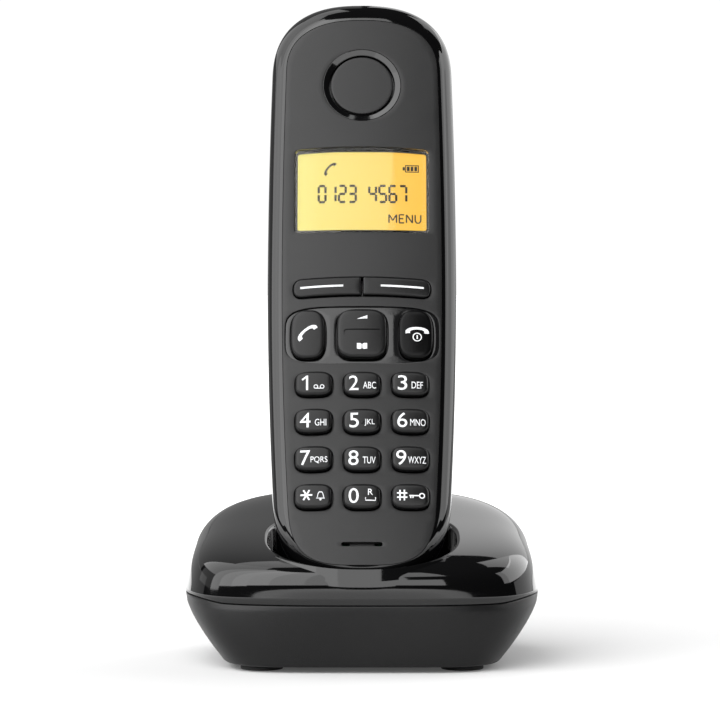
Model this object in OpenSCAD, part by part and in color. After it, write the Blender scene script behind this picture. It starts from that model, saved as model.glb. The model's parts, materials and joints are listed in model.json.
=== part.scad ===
// Cordless telephone: a handset leaning back in its charging base.
// Millimetres, +Z up, the keypad faces -Y, the origin is under the middle of the whole object.

/* [Base] */
// Width of the base at its widest line
base_width = 88.4; // [86:0.2:91]
// Depth of the base at its widest line
base_depth = 74.8; // [72:0.2:78]
// Squareness of the base outline seen from above
base_square = 3.15; // [2.9:0.05:3.4]
// Height of the line where the two base shells meet
parting_z = 16.8; // [16.4:0.1:17.2]
// Rise of the dome over the widest line, at mid depth
dome_rise = 17.5; // [17:0.1:18]
// Slope of the top of the dome, front to back
dome_slope = 0.22; // [0.2:0.005:0.24]
// Squareness of the dome seen from the side
dome_square = 4.57; // [4.3:0.01:5]
// Wall of the base shells
base_wall = 1.8; // [1.6:0.1:2]
// Height of the rubber feet below the base
foot_height = 1.4; // [1.2:0.1:1.6]
// Diameter of a rubber foot
foot_dia = 10.5; // [9:0.5:11]

/* [Handset] */
// Lean of the handset from upright, degrees
lean = 22; // [21:0.5:23]
// Length of the handset
handset_length = 157.2; // [156:0.1:159]
// Half width of the handset at its widest place
handset_half = 23.75; // [23.5:0.05:24]
// Depth of the handset, front face to back
handset_depth = 27; // [26.5:0.5:27.5]
// Wall of the handset shells
handset_wall = 1.8; // [1.6:0.1:1.8]
// Depth of the rounded bevel around the front
bevel_depth = 6; // [5.5:0.1:6.5]
// Depth of the line where the two handset shells meet
seam_depth = 9; // [8.8:0.1:9.2]

/* [Keys] */
// Height of a digit key over the face
key_proud = 1.8; // [1.4:0.1:2.2]
// Travel of a key
key_travel = 0.6; // [0.4:0.1:0.7]
// Gap between a key and the hole it comes through
key_gap = 0.25; // [0.2:0.05:0.35]
// Distance between digit rows
row_pitch = 9.75; // [9.6:0.05:9.9]
// Distance between digit columns
column_pitch = 11.9; // [11.6:0.1:12.2]

/* [Hidden] */

// Colours of the object
gloss_black = [0.05, 0.05, 0.05];
satin_grey = [0.24, 0.24, 0.24];
rubber_black = [0.10, 0.10, 0.10];
board_green = [0.05, 0.28, 0.14];
metal_grey = [0.75, 0.76, 0.78];
contact_gold = [0.83, 0.66, 0.30];
amber = [1.0, 0.82, 0.42];
cell_green = [0.25, 0.55, 0.30];

// Facets of a round feature and of the smooth outlines
round_fn = 48;
plan_steps = 64;
end_steps = 7;
side_steps = 6;
key_steps = 24;

// Place of the whole object over the origin
centre_y = -3.19;

// Base: half sizes, and the widest line a little over the parting line, which rises at the sides
half_x = base_width / 2;
half_y = base_depth / 2;
widest_z = parting_z + 1.5;
parting_rise = 1.1;
rise_from = 33;
rise_to = 43;
dome_draft = 0.058;
dome_angles = [0, 1, 3, 7, 14, 24, 36, 48, 60, 70, 80];
shell_gap = 0.2;
floor_z = foot_height + base_wall;
edge_drop = 0.5;
edge_run = 0.5;
front_taper = 0.28;
underside_square = 5;
foot_places = [[-24.6, -24], [24.6, -24], [-24.6, 24], [24.6, 24]];
post_places = [[-30.8, -14], [30.8, -14], [-30.8, 14], [30.8, 14]];
post_z = 13;
board_z = 3.8;
board_top = board_z + 1.2;

// Pocket for the handset, in the handset's own axes
pocket_half = 23.4;
pocket_front = 1;
pocket_back = 2;
pocket_square = 2.6;
pocket_floor = 0.8;
pocket_wall = 1.6;
pin_x = 7;
pin_w = -13;

// Jacks in the back wall of the base
jack_height = 11;
line_jack_x = -15;
line_jack_width = 13.6;
power_jack_x = 14;
power_jack_width = 11;
jack_face_y = 31.2;
page_z = 9.4;
page_radius = 3.2;

// Handset: start point of its own axes, and the shape of its rounded ends
handset_y = -35.2;
handset_z = 21.9;
low_end = 22;
low_square = 2.15;
top_end = 20.5;
top_square = 2.5;
widest_s = 85;
low_flare = 0.00044;
top_flare = 0.00027;

// Face panel inside the bevel
panel_inset = 3.7;
panel_low_end = 17.3;
panel_top_end = 14;
panel_square = 3.4;
panel_thick = 1.8;
panel_clear = 0.05;

// Rounded back: how far the section comes in, and its squareness
back_round = 20;
back_flat = 17;
back_square = 2.6;

// Battery space and its cover
cover_half = 16.8;
cover_low = 44.2;
cover_high = 103.8;
cover_gap = 0.25;
cell_radius = 5.2;
cell_length = 43.5;
cell_x = 5.35;
cell_w = -18.8;
cell_low = 51;

// Face features: distances along the handset from its lower end
mic_s = 10.1;
digit_low_s = 22.1;
function_s = 64.5;
soft_s = 77.5;
window_s = 103.4;
window_half = [16.9, 11.3];
view_half = [16.2, 10.4];
ear_s = 132.5;
ear_radius = 9.9;
cap_radius = 7.9;
screw_places = [[-13.2, 9], [13.2, 9], [-16.5, 142], [16.5, 142]];

// Key layers along the handset's depth
key_bottom = -4.2;
flange_top = -2.7;
flange_edge = 0.5;
mat_top = -5.4;
mat_bottom = -6.2;
sheet_bottom = -6.5;
board_back = -7.7;

// Digit keys: name, column and row counted from the lower left
digit_keys = [
    ["key_star", -1, 0], ["key_0", 0, 0], ["key_hash", 1, 0],
    ["key_7", -1, 1], ["key_8", 0, 1], ["key_9", 1, 1],
    ["key_4", -1, 2], ["key_5", 0, 2], ["key_6", 1, 2],
    ["key_1", -1, 3], ["key_2", 0, 3], ["key_3", 1, 3]
];
digit_half = [4.55, 3.2];
digit_square = 3.3;
side_key_x = 13.4;
side_key_half = [4.3, 6.45];
side_key_square = 2.9;
nav_half = [6.25, 6.5];
nav_square = 3.6;
soft_inner = 0.25;
soft_outer = 17.1;
soft_half = 2.75;
soft_arch = 0.0022;
plate_half = [19.1, 7.5];
plate_square = 4.5;
plate_top = -0.5;
plate_bottom = -1.3;

// ---------------------------------------------------------------- outlines

// Signed power, for superellipses
function spow(v, e) = sign(v) * pow(abs(v), e);

// Closed superellipse outline
function squircle(rx, ry, n, steps) = [
    for (i = [0 : steps - 1])
        let (a = 360 * i / steps)
        [rx * spow(cos(a), 2 / n), ry * spow(sin(a), 2 / n)]
];

function moved(points, x, y) = [for (p = points) [p.x + x, p.y + y]];

function at_height(points, z) = [for (p = points) [p.x, p.y, z]];

// Half width of the handset at distance s from its lower end
function handset_half_at(s) =
    handset_half - (s < widest_s ? low_flare : top_flare) * (s - widest_s) * (s - widest_s);

// Right side of a handset outline, lower end to top end: the sides come in by d, the ends are
// superellipse quarters that start at s_low and s_top and reach low and top further
function right_side(d, s_low, low, n_low, s_top, top, n_top) = concat(
    [for (k = [0 : end_steps - 1])
        let (a = 90 * k / end_steps, s = s_low - low * spow(cos(a), 2 / n_low))
        [(handset_half_at(s) - d) * spow(sin(a), 2 / n_low), s]],
    [for (k = [0 : side_steps - 1])
        let (s = s_low + (s_top - s_low) * k / side_steps)
        [handset_half_at(s) - d, s]],
    [for (k = [0 : end_steps])
        let (a = 90 * k / end_steps, s = s_top + top * spow(sin(a), 2 / n_top))
        [(handset_half_at(s) - d) * spow(cos(a), 2 / n_top), s]]
);

function mirrored_outline(side) = concat(
    side,
    [for (i = [len(side) - 2 : -1 : 1]) [-side[i].x, side[i].y]]
);

// Outline of the handset, brought in by d
function handset_outline(d) = mirrored_outline(right_side(
    d, low_end, low_end - d, low_square,
    handset_length - top_end, top_end - d, top_square));

// Outline of the face panel, brought in by d
function panel_outline(d) = mirrored_outline(right_side(
    panel_inset + d, low_end, panel_low_end - d, panel_square,
    handset_length - top_end, panel_top_end - d, top_square));

// Outline moved inwards along its own normals
function inset(points, d) = [
    for (i = [0 : len(points) - 1])
        let (
            before = points[(i + len(points) - 1) % len(points)],
            after = points[(i + 1) % len(points)],
            t = after - before
        )
        points[i] - d * [t.y, -t.x] / norm(t)
];

// Outline of a soft key: square inner end, rounded outer end, both long edges gently arched
function soft_outline(side) =
    let (
        straight = soft_outer - soft_half,
        right = concat(
            [for (k = [0 : 3]) [soft_inner + (straight - soft_inner) * k / 4, -soft_half]],
            [for (k = [0 : 8])
                let (a = -90 + 180 * k / 8)
                [straight + soft_half * spow(cos(a), 0.8), soft_half * spow(sin(a), 0.8)]],
            [for (k = [3 : -1 : 0]) [soft_inner + (straight - soft_inner) * k / 4, soft_half]]
        ),
        arched = [for (p = right) [p.x, p.y - soft_arch * p.x * p.x + soft_s]]
    )
    side > 0 ? arched : [for (i = [len(arched) - 1 : -1 : 0]) [-arched[i].x, arched[i].y]];

// Outline of the display window: the top edge is gently arched, the corners are small arcs
function window_outline(half, corner) = [
    for (q = [[1, 1], [-1, 1], [-1, -1], [1, -1]], k = [0 : 3])
        let (
            turn = q.x * q.y > 0 ? k : 3 - k,
            a = 90 * turn / 3,
            x = q.x * (half.x - corner * (1 - cos(a))),
            y = q.y * (half.y - corner * (1 - sin(a))),
            arch = q.y > 0 ? 0.0022 * (half.x * half.x - x * x) : 0
        )
        [x, y + window_s + arch]
];

// ---------------------------------------------------------------- lofts

// Side faces between neighbouring rings of n points
function ring_faces(n, from, to, count) = [
    for (j = [0 : count - 1], i = [0 : n - 1], half = [0, 1])
        let (
            a = from + j * n + i,
            b = from + j * n + (i + 1) % n,
            c = (j == count - 1 ? to : from + (j + 1) * n) + (i + 1) % n,
            d = (j == count - 1 ? to : from + (j + 1) * n) + i
        )
        half == 0 ? [a, d, c] : [a, c, b]
];

// Solid through a stack of rings, from the lowest up
module loft(rings) {
    n = len(rings[0]);
    last = (len(rings) - 1) * n;
    polyhedron(
        points = [for (r = rings, p = r) p],
        faces = concat(
            [[for (i = [0 : n - 1]) i]],
            ring_faces(n, 0, last, len(rings) - 1),
            [[for (i = [n - 1 : -1 : 0]) last + i]]
        )
    );
}

// Solid ring through a closed loop of rings
module loft_loop(rings) {
    n = len(rings[0]);
    last = (len(rings) - 1) * n;
    polyhedron(
        points = [for (r = rings, p = r) p],
        faces = concat(
            ring_faces(n, 0, last, len(rings) - 1),
            ring_faces(n, last, 0, 1)
        )
    );
}

// Open shell: the outer rings run up from the rim to the crown, the inner ones lie inside them
module loft_shell(outer, inner) {
    n = len(outer[0]);
    outer_last = (len(outer) - 1) * n;
    inner_first = len(outer) * n;
    inner_last = inner_first + (len(inner) - 1) * n;
    flipped = [for (f = ring_faces(n, inner_first, inner_last, len(inner) - 1)) [f[2], f[1], f[0]]];
    polyhedron(
        points = [for (r = concat(outer, inner), p = r) p],
        faces = concat(
            ring_faces(n, 0, outer_last, len(outer) - 1),
            [[for (i = [n - 1 : -1 : 0]) outer_last + i]],
            flipped,
            [[for (i = [0 : n - 1]) inner_last + i]],
            ring_faces(n, inner_first, 0, 1)
        )
    );
}

// ---------------------------------------------------------------- frames

module in_place() {
    translate([0, centre_y, 0]) children();
}

// Handset axes: X across, Y from the lower end to the top, Z out of the face
module on_handset() {
    in_place() translate([0, handset_y, handset_z]) rotate([90 - lean, 0, 0]) children();
}

// Cylinder that runs up the handset
module along_handset(x, w, from, to, radius) {
    translate([x, from, w]) rotate([-90, 0, 0]) cylinder(h = to - from, r = radius, $fn = round_fn);
}

// Block given by its two far corners
module block(low, high) {
    translate(low) cube(high - low);
}

// ---------------------------------------------------------------- base shells

function dome_ring(inside, a) =
    let (
        g = pow(cos(a), 2 / dome_square),
        e = pow(sin(a), 2 / dome_square),
        plan = squircle((half_x - inside) * g * (1 - dome_draft * e), (half_y - inside) * g,
                        base_square, plan_steps)
    )
    [for (p = plan) [p.x, p.y, widest_z + (dome_rise - inside + dome_slope * p.y) * e]];

function rim_ring(inside, z) =
    at_height(squircle(half_x - inside, half_y - inside, base_square, plan_steps), z);

// How much higher the parting line is at x than in the middle
function rise_at(x) =
    let (t = min(max((abs(x) - rise_from) / (rise_to - rise_from), 0), 1))
    parting_rise * t * t * (3 - 2 * t);

function parting_ring(inside, z) =
    [for (p = rim_ring(inside, z)) [p.x, p.y, p.z + rise_at(p.x)]];

// How far the side of the lower shell has come in at height z
function taper(z) = 0.2335 * pow(max(17 - z, 0), 1.365);

// Ring of the lower shell, upside down for the loft; the plan gets squarer towards the underside
function lower_ring(inside, z, more) =
    let (
        square = base_square + (underside_square - base_square) * min((parting_z - z) / parting_z, 1),
        plan = squircle(half_x - inside - taper(z) - more,
                        half_y - inside - front_taper * taper(z) - more, square, plan_steps)
    )
    at_height(plan, -z);

function lower_wall(inside) = concat(
    [[for (p = parting_ring(inside + 0.1, parting_z - shell_gap)) [p.x, p.y, -p.z]]],
    [for (z = [15, 12, 9, 6, 4]) lower_ring(inside, z, 0)]
);

// Rounded edge down to the flat underside
function lower_edge() =
    let (edge_z = foot_height + edge_drop)
    [for (b = [0, 30, 60, 90])
        lower_ring(0, edge_z - edge_drop * sin(b), edge_run * (1 - cos(b)))];

// Hollow that the handset drops into, grown by extra on every side, in handset axes
module pocket(extra) {
    depth = (handset_depth + pocket_front + pocket_back) / 2 + extra;
    middle = pocket_front + extra - depth;
    side = pocket_half + 1.1 + extra;
    intersection() {
        translate([0, -10, middle]) rotate([-90, 0, 0]) linear_extrude(70)
            polygon(squircle(pocket_half + extra, depth, pocket_square, plan_steps));
        translate([0, 0, middle - depth - 1]) linear_extrude(2 * depth + 2)
            polygon(concat(
                [for (k = [0 : plan_steps / 2])
                    let (a = 180 + 360 * k / plan_steps)
                    [side * spow(cos(a), 2 / pocket_square),
                     low_end + (low_end + pocket_floor + extra) * spow(sin(a), 2 / pocket_square)]],
                [[side, 60], [-side, 60]]));
    }
}

module pin_bores(radius) {
    for (side = [-1, 1]) along_handset(side * pin_x, pin_w, -12, 6, radius);
}

module base_upper_shell() {
    color(gloss_black) difference() {
        union() {
            in_place() loft_shell(
                concat([parting_ring(0.1, parting_z)], [for (a = dome_angles) dome_ring(0, a)]),
                concat([parting_ring(base_wall, parting_z)],
                       [for (a = dome_angles) if (a > 2) dome_ring(base_wall, a)]));
            intersection() {
                in_place() loft(concat([rim_ring(2, 2)], [for (a = dome_angles) dome_ring(0.4, a)]));
                union() {
                    on_handset() pocket(pocket_wall);
                    in_place() for (p = post_places)
                        translate([p.x, p.y, post_z]) cylinder(h = 40, r = 3.2, $fn = round_fn);
                }
            }
        }
        on_handset() pocket(0);
        on_handset() pin_bores(1.2);
        in_place() for (p = post_places)
            translate([p.x, p.y, post_z - 1]) cylinder(h = 8, r = 1.2, $fn = round_fn);
    }
}

module base_lower_shell() {
    color(satin_grey) in_place() difference() {
        union() {
            mirror([0, 0, 1]) loft_shell(
                concat(lower_wall(0), lower_edge()),
                concat(lower_wall(base_wall), [lower_ring(base_wall, floor_z, 0)]));
            for (p = post_places)
                translate([p.x, p.y, floor_z - 0.9])
                    cylinder(h = post_z - 0.05 - floor_z + 0.9, r = 3.4, $fn = round_fn);
            for (p = [[-20, -12], [20, -12], [-20, 16], [20, 16]])
                translate([p.x, p.y, floor_z - 0.5]) cylinder(h = board_z - floor_z + 0.5, r = 2, $fn = round_fn);
        }
        for (p = post_places) {
            translate([p.x, p.y, 0]) cylinder(h = post_z + 1, r = 1.5, $fn = round_fn);
            translate([p.x, p.y, 0]) cylinder(h = floor_z + 2.2, r = 2.4, $fn = round_fn);
        }
        for (j = [[line_jack_x, line_jack_width], [power_jack_x, power_jack_width]])
            block([j[0] - j[1] / 2 - 0.2, jack_face_y - 4, board_top - 0.2],
                  [j[0] + j[1] / 2 + 0.2, half_y + 2, board_top + jack_height + 0.2]);
        translate([0, half_y + 2, page_z]) rotate([90, 0, 0])
            cylinder(h = 8, r = page_radius + 0.2, $fn = round_fn);
    }
}

module base_feet() {
    color(rubber_black) in_place() for (p = foot_places)
        translate([p.x, p.y, 0]) cylinder(h = foot_height, d = foot_dia, $fn = round_fn);
}

module base_screws() {
    color(metal_grey) in_place() for (p = post_places) translate([p.x, p.y, floor_z + 0.6]) {
        cylinder(h = 1.6, r = 2.2, $fn = round_fn);
        cylinder(h = post_z + 5 - floor_z - 0.6, r = 1.2, $fn = round_fn);
    }
}

// ---------------------------------------------------------------- inside the base

module base_pcb() {
    color(board_green) in_place() translate([0, 0, board_z]) linear_extrude(board_top - board_z)
        polygon(squircle(26, 28, 5, plan_steps));
}

module base_rf_shield() {
    color(metal_grey) in_place() block([-25, -20, board_top], [-12, -2, board_top + 2.2]);
}

// Jack body with a square mouth in the middle of its face
module jack(x, width, mouth_width, mouth_depth) {
    mouth_height = 6.8;
    mouth_z = board_top + (jack_height - mouth_height) / 2;
    color(rubber_black) in_place() difference() {
        block([x - width / 2, jack_face_y - 15, board_top], [x + width / 2, jack_face_y, board_top + jack_height]);
        block([x - mouth_width / 2, jack_face_y - mouth_depth, mouth_z],
              [x + mouth_width / 2, jack_face_y + 1, mouth_z + mouth_height]);
    }
}

module line_jack() {
    jack(line_jack_x, line_jack_width, 9.8, 12);
}

module power_jack() {
    jack(power_jack_x, power_jack_width, 7.6, 11);
}

module page_button() {
    color(satin_grey) in_place() translate([0, 35.6, page_z]) rotate([90, 0, 0]) {
        cylinder(h = 6, r = page_radius, $fn = round_fn);
        translate([0, 0, 5.3]) cylinder(h = 0.7, r = page_radius + 0.5, $fn = round_fn);
    }
}

module page_switch() {
    color(metal_grey) in_place() {
        block([-3, 24, board_top], [3, 27.5, board_top + 6.4]);
        translate([0, 28.6, page_z]) rotate([90, 0, 0]) cylinder(h = 1.3, r = 1.4, $fn = round_fn);
    }
}

module charge_pin_block() {
    color(rubber_black) on_handset() difference() {
        block([-10.5, -9, pin_w - 3], [10.5, -2.5, pin_w + 3]);
        for (side = [-1, 1]) {
            along_handset(side * pin_x, pin_w, -3.7, 0, 1.2);
            along_handset(side * pin_x, pin_w, -8.4, -3.7, 2.1);
        }
    }
}

module charge_springs() {
    color(metal_grey) on_handset() for (side = [-1, 1]) difference() {
        along_handset(side * pin_x, pin_w, -8.4, -5.8, 1.9);
        along_handset(side * pin_x, pin_w, -9, -5, 1.4);
    }
}

module charge_pin(side) {
    color(contact_gold) on_handset() {
        along_handset(side * pin_x, pin_w, -6.8, 0.4, 1);
        along_handset(side * pin_x, pin_w, -4.9, -4.1, 1.8);
        translate([side * pin_x, 0.4, pin_w]) rotate([-90, 0, 0])
            cylinder(h = 0.4, r1 = 1, r2 = 0.6, $fn = round_fn);
    }
}

module charge_pin_left() {
    charge_pin(-1);
}

module charge_pin_right() {
    charge_pin(1);
}

// ---------------------------------------------------------------- handset shells

module handset_front_shell() {
    bevel = [for (a = [90 : -18 : 0])
        let (outer = handset_outline(0), inner = panel_outline(0), t = sin(a))
        [for (i = [0 : len(outer) - 1])
            let (p = inner[i] + (outer[i] - inner[i]) * t)
            [p.x, p.y, -bevel_depth * (1 - cos(a))]]];
    inner_side = [
        at_height(panel_outline(0), -panel_thick - 0.05),
        at_height(panel_outline(1.2), -panel_thick - 0.05),
        at_height(panel_outline(1.2), -3.4),
        at_height(handset_outline(handset_wall), -bevel_depth - 0.5),
        at_height(handset_outline(handset_wall), -seam_depth)
    ];
    color(gloss_black) on_handset() difference() {
        union() {
            loft_loop(concat([at_height(handset_outline(0.15), -seam_depth)], bevel, inner_side));
            for (p = screw_places)
                translate([p.x, p.y, -seam_depth])
                    cylinder(h = seam_depth - panel_thick - 0.15, r = 2.7, $fn = round_fn);
        }
        for (p = screw_places)
            translate([p.x, p.y, -seam_depth - 1]) cylinder(h = 6, r = 1.1, $fn = round_fn);
    }
}

// Rings of the rounded back, from the seam to the flat strip, grown inwards by the wall
function back_rings(inside) = [
    for (g = [1, 0.985, 0.95, 0.88, 0.77, 0.62, 0.42, 1 - back_flat / back_round])
        at_height(handset_outline(0.15 + inside + (back_round - inside * 0.9) * (1 - g)),
                  seam_depth + 0.1 + (handset_depth - inside - seam_depth - 0.1)
                      * pow(1 - pow(g, back_square), 1 / back_square))
];

module back_shell() {
    mirror([0, 0, 1]) loft_shell(back_rings(0), back_rings(handset_wall));
}

module cover_cut(gap) {
    block([-cover_half - gap, cover_low - gap, -handset_depth - 5], [cover_half + gap, cover_high + gap, -16]);
}

module handset_rear_shell() {
    color(gloss_black) on_handset() difference() {
        union() {
            back_shell();
            for (p = screw_places)
                translate([p.x, p.y, -19.5]) cylinder(h = 19.5 - seam_depth - 0.1, r = 2.9, $fn = round_fn);
        }
        cover_cut(cover_gap);
        for (p = screw_places) {
            translate([p.x, p.y, -40]) cylinder(h = 26, r = 2.1, $fn = round_fn);
            translate([p.x, p.y, -15]) cylinder(h = 8, r = 1.3, $fn = round_fn);
        }
        for (x = [-6 : 3 : 6], y = [-3, 0, 3])
            translate([x, 122 + y, -handset_depth - 1]) cylinder(h = 5, r = 0.6, $fn = round_fn);
        for (side = [-1, 1])
            block([side * pin_x - 2.1, -1, pin_w - 1.8], [side * pin_x + 2.1, 4, pin_w + 1.8]);
    }
}

module battery_cover() {
    color(gloss_black) on_handset() intersection() {
        back_shell();
        cover_cut(0);
    }
}

module handset_screws() {
    color(metal_grey) on_handset() for (p = screw_places) {
        translate([p.x, p.y, -15.4]) cylinder(h = 1.4, r = 1.9, $fn = round_fn);
        translate([p.x, p.y, -14.5]) cylinder(h = 10.5, r = 1.1, $fn = round_fn);
    }
}

module handset_charge_pads() {
    color(contact_gold) on_handset() for (side = [-1, 1])
        block([side * pin_x - 2, 1, pin_w - 1.7], [side * pin_x + 2, 3.4, pin_w + 1.7]);
}

// ---------------------------------------------------------------- face of the handset

// Prism across a hole in the face
module face_cut(points, low) {
    translate([0, 0, low]) linear_extrude(10) polygon(points);
}

module face_panel() {
    color(satin_grey) on_handset() difference() {
        translate([0, 0, -panel_thick]) linear_extrude(panel_thick) polygon(panel_outline(panel_clear));
        face_cut(window_outline(window_half + [0.1, 0.1], 1.1), -1.25);
        face_cut(window_outline(view_half, 0.5), -5);
        translate([0, ear_s, -5]) cylinder(h = 8, r = ear_radius + 0.05, $fn = round_fn);
        face_cut(moved(squircle(plate_half.x + 0.1, plate_half.y + 0.1, plate_square, plan_steps), 0, function_s),
                 plate_bottom - 0.02);
        for (side = [-1, 1]) {
            face_cut(inset(soft_outline(side), -key_gap), -5);
            face_cut(moved(side_key_outline(), side * side_key_x, function_s), -5);
        }
        face_cut(moved(nav_outline(), 0, function_s), -5);
        for (k = digit_keys)
            face_cut(moved(inset(digit_outline(), -key_gap), k[1] * column_pitch, digit_s(k)), -5);
        block([-4.5, mic_s - 0.5, -5], [4.5, mic_s + 0.5, 5]);
        for (side = [-1, 1])
            translate([side * 4.5, mic_s, -5]) cylinder(h = 8, r = 0.5, $fn = round_fn);
    }
}

function digit_outline() = squircle(digit_half.x, digit_half.y, digit_square, key_steps);
function side_key_outline() =
    squircle(side_key_half.x + key_gap, side_key_half.y + key_gap, side_key_square, key_steps);
function nav_outline() =
    squircle(nav_half.x + key_gap + 0.1, nav_half.y + key_gap + 0.1, nav_square, key_steps);
function digit_s(k) = digit_low_s + k[2] * row_pitch - (k[1] == 0 ? 0.15 : 0);

module function_key_plate() {
    color(gloss_black) on_handset() difference() {
        translate([0, 0, plate_bottom]) linear_extrude(plate_top - plate_bottom)
            polygon(moved(squircle(plate_half.x, plate_half.y, plate_square, plan_steps), 0, function_s));
        for (side = [-1, 1])
            face_cut(moved(side_key_outline(), side * side_key_x, function_s), -5);
        face_cut(moved(nav_outline(), 0, function_s), -5);
    }
}

module display_window() {
    color([0.8, 0.8, 0.75, 0.4]) on_handset()
        translate([0, 0, -1.2]) linear_extrude(1.15) polygon(window_outline(window_half, 1));
}

module lcd_panel() {
    color(amber) on_handset() block([-16.6, window_s - 11.4, -3], [16.6, window_s + 11.4, -1.95]);
}

module lcd_backlight() {
    color([0.95, 0.95, 0.9]) on_handset() block([-16.6, window_s - 11.4, -5], [16.6, window_s + 11.4, -3.05]);
}

module lcd_frame() {
    color(rubber_black) on_handset() difference() {
        block([-17.8, window_s - 12.6, sheet_bottom + 0.05], [17.8, window_s + 12.6, -1.9]);
        block([-16.7, window_s - 11.5, -5.05], [16.7, window_s + 11.5, 0]);
    }
}

module earpiece_ring() {
    color(gloss_black) on_handset() translate([0, ear_s, 0]) rotate_extrude($fn = 64)
        polygon([[ear_radius - 0.1, 0], [ear_radius, 0], [ear_radius, -panel_thick - 0.05],
                 [ear_radius + 1.2, -panel_thick - 0.05], [ear_radius + 1.2, -2.4], [8.5, -2.4], [8.5, -0.95]]);
}

module earpiece_cap() {
    color(satin_grey) on_handset() translate([0, ear_s, 0]) difference() {
        union() {
            translate([0, 0, -1.6]) cylinder(h = 1.4, r = cap_radius, $fn = 64);
            translate([0, 0, -2.5]) cylinder(h = 1, r = 6.2, $fn = 64);
            translate([0, 0, -3.2]) cylinder(h = 0.75, r = 10.6, $fn = 64);
        }
        for (a = [0 : 45 : 315]) rotate([0, 0, a]) translate([7.4, 0, -4]) cylinder(h = 2.2, r = 0.7, $fn = round_fn);
    }
}

module receiver_capsule() {
    color(metal_grey) on_handset() translate([0, ear_s, -6.3]) cylinder(h = 3, r = 8, $fn = round_fn);
}

module microphone() {
    color(metal_grey) on_handset() translate([0, mic_s, sheet_bottom]) cylinder(h = 4.6, r = 3, $fn = round_fn);
}

// ---------------------------------------------------------------- inside the handset

// Places of the rubber nubs under the keys
function nub_places() = concat(
    [for (k = digit_keys) [k[1] * column_pitch, digit_s(k)]],
    [for (side = [-1, 1]) [side * side_key_x, function_s]],
    [for (side = [-1, 1]) [side * 8.5, soft_s]],
    [for (side = [-1, 1]) [0, function_s + side * 4]]
);

module key_mat() {
    color([0.6, 0.6, 0.6]) on_handset() {
        block([-15.4, 17.5, mat_bottom], [15.4, 82, mat_top]);
        for (p = nub_places()) translate([p.x, p.y, mat_top]) cylinder(h = 0.4, r = 1.6, $fn = 24);
    }
}

module dome_sheet() {
    color([0.85, 0.85, 0.8]) on_handset() difference() {
        block([-15.4, 17.5, sheet_bottom], [15.4, 82, mat_bottom]);
        for (p = nub_places()) translate([p.x, p.y, sheet_bottom - 1]) cylinder(h = 3, r = 1.1, $fn = 24);
    }
}

module handset_pcb() {
    color(board_green) on_handset() difference() {
        translate([0, 0, board_back]) linear_extrude(sheet_bottom - board_back) polygon(handset_outline(3));
        for (p = screw_places) translate([p.x, p.y, -20]) cylinder(h = 30, r = 3, $fn = round_fn);
    }
}

module handset_rf_shield() {
    color(metal_grey) on_handset() block([-11, 105, board_back - 2.6], [11, 128, board_back]);
}

module handset_antenna() {
    color(metal_grey) on_handset() {
        block([-12, 149, board_back - 3], [12, 152, board_back - 2.5]);
        block([-12, 149, board_back - 3], [-11.5, 152, board_back]);
        block([11.5, 149, board_back - 3], [12, 152, board_back]);
    }
}

module ringer_speaker() {
    color(metal_grey) on_handset() translate([0, 122, -24.2]) {
        cylinder(h = 2, r = 9.5, $fn = round_fn);
        translate([0, 0, 2]) cylinder(h = 2.2, r = 5, $fn = round_fn);
    }
}

module battery_bay() {
    color(rubber_black) on_handset() difference() {
        union() {
            block([-12.4, 45.5, -21.6], [12.4, 102.5, -12.2]);
            block([-16.4, 44.5, -21.5], [16.4, 103.5, -20.5]);
        }
        block([-11.1, 46.7, -30], [11.1, 101.3, -13.4]);
    }
}

module battery_cell(side) {
    color(cell_green) on_handset() {
        along_handset(side * cell_x, cell_w, cell_low, cell_low + cell_length, cell_radius);
        along_handset(side * cell_x, cell_w,
                      side > 0 ? cell_low + cell_length : cell_low - 0.9,
                      side > 0 ? cell_low + cell_length + 0.9 : cell_low, 1.9);
    }
}

module battery_cell_left() {
    battery_cell(-1);
}

module battery_cell_right() {
    battery_cell(1);
}

module battery_contacts() {
    spring_end = cell_low + cell_length;
    color(metal_grey) on_handset() {
        for (side = [-1, 1]) {
            x = side * cell_x;
            block([x - 4.5, 46.7, cell_w - 4], [x + 4.5, 47.1, cell_w + 4]);
            block([x - 4.5, 100.9, cell_w - 4], [x + 4.5, 101.3, cell_w + 4]);
            difference() {
                along_handset(x, cell_w, side > 0 ? 47.1 : spring_end, side > 0 ? cell_low : 100.9, 3.4);
                along_handset(x, cell_w, side > 0 ? 46.9 : spring_end - 1, side > 0 ? cell_low + 1 : 101, 2.6);
            }
        }
        block([-cell_x - 1, 46.7, -14.5], [cell_x + 1, 47.1, -13.4]);
    }
}

// ---------------------------------------------------------------- keys

// Key with a flange under the face and a rounded upper edge
module key_body(outline, flange, top, edge) {
    color(satin_grey) on_handset() loft(concat(
        [at_height(flange, key_bottom), at_height(flange, flange_top), at_height(outline, flange_top)],
        [for (a = [0, 30, 60, 90])
            at_height(inset(outline, edge * (1 - cos(a))), top - edge + edge * sin(a))]));
}

module digit_key(name) {
    k = digit_keys[search([name], digit_keys)[0]];
    outline = moved(digit_outline(), k[1] * column_pitch, digit_s(k));
    key_body(outline, inset(outline, -flange_edge), key_proud, 0.8);
}

module side_key(side) {
    outline = moved(inset(side_key_outline(), key_gap), side * side_key_x, function_s);
    key_body(outline, inset(outline, -flange_edge), key_proud - 0.3, 0.8);
}

module talk_key() {
    side_key(-1);
}

module end_key() {
    side_key(1);
}

module nav_key() {
    outline = moved(inset(nav_outline(), key_gap + 0.1), 0, function_s);
    key_body(outline, inset(outline, -flange_edge), key_proud, 0.9);
}

module soft_key(side) {
    outline = soft_outline(side);
    flange = [for (p = inset(outline, -flange_edge)) [side * max(side * p.x, soft_inner - 0.1), p.y]];
    key_body(outline, flange, 0.9, 0.5);
}

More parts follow.
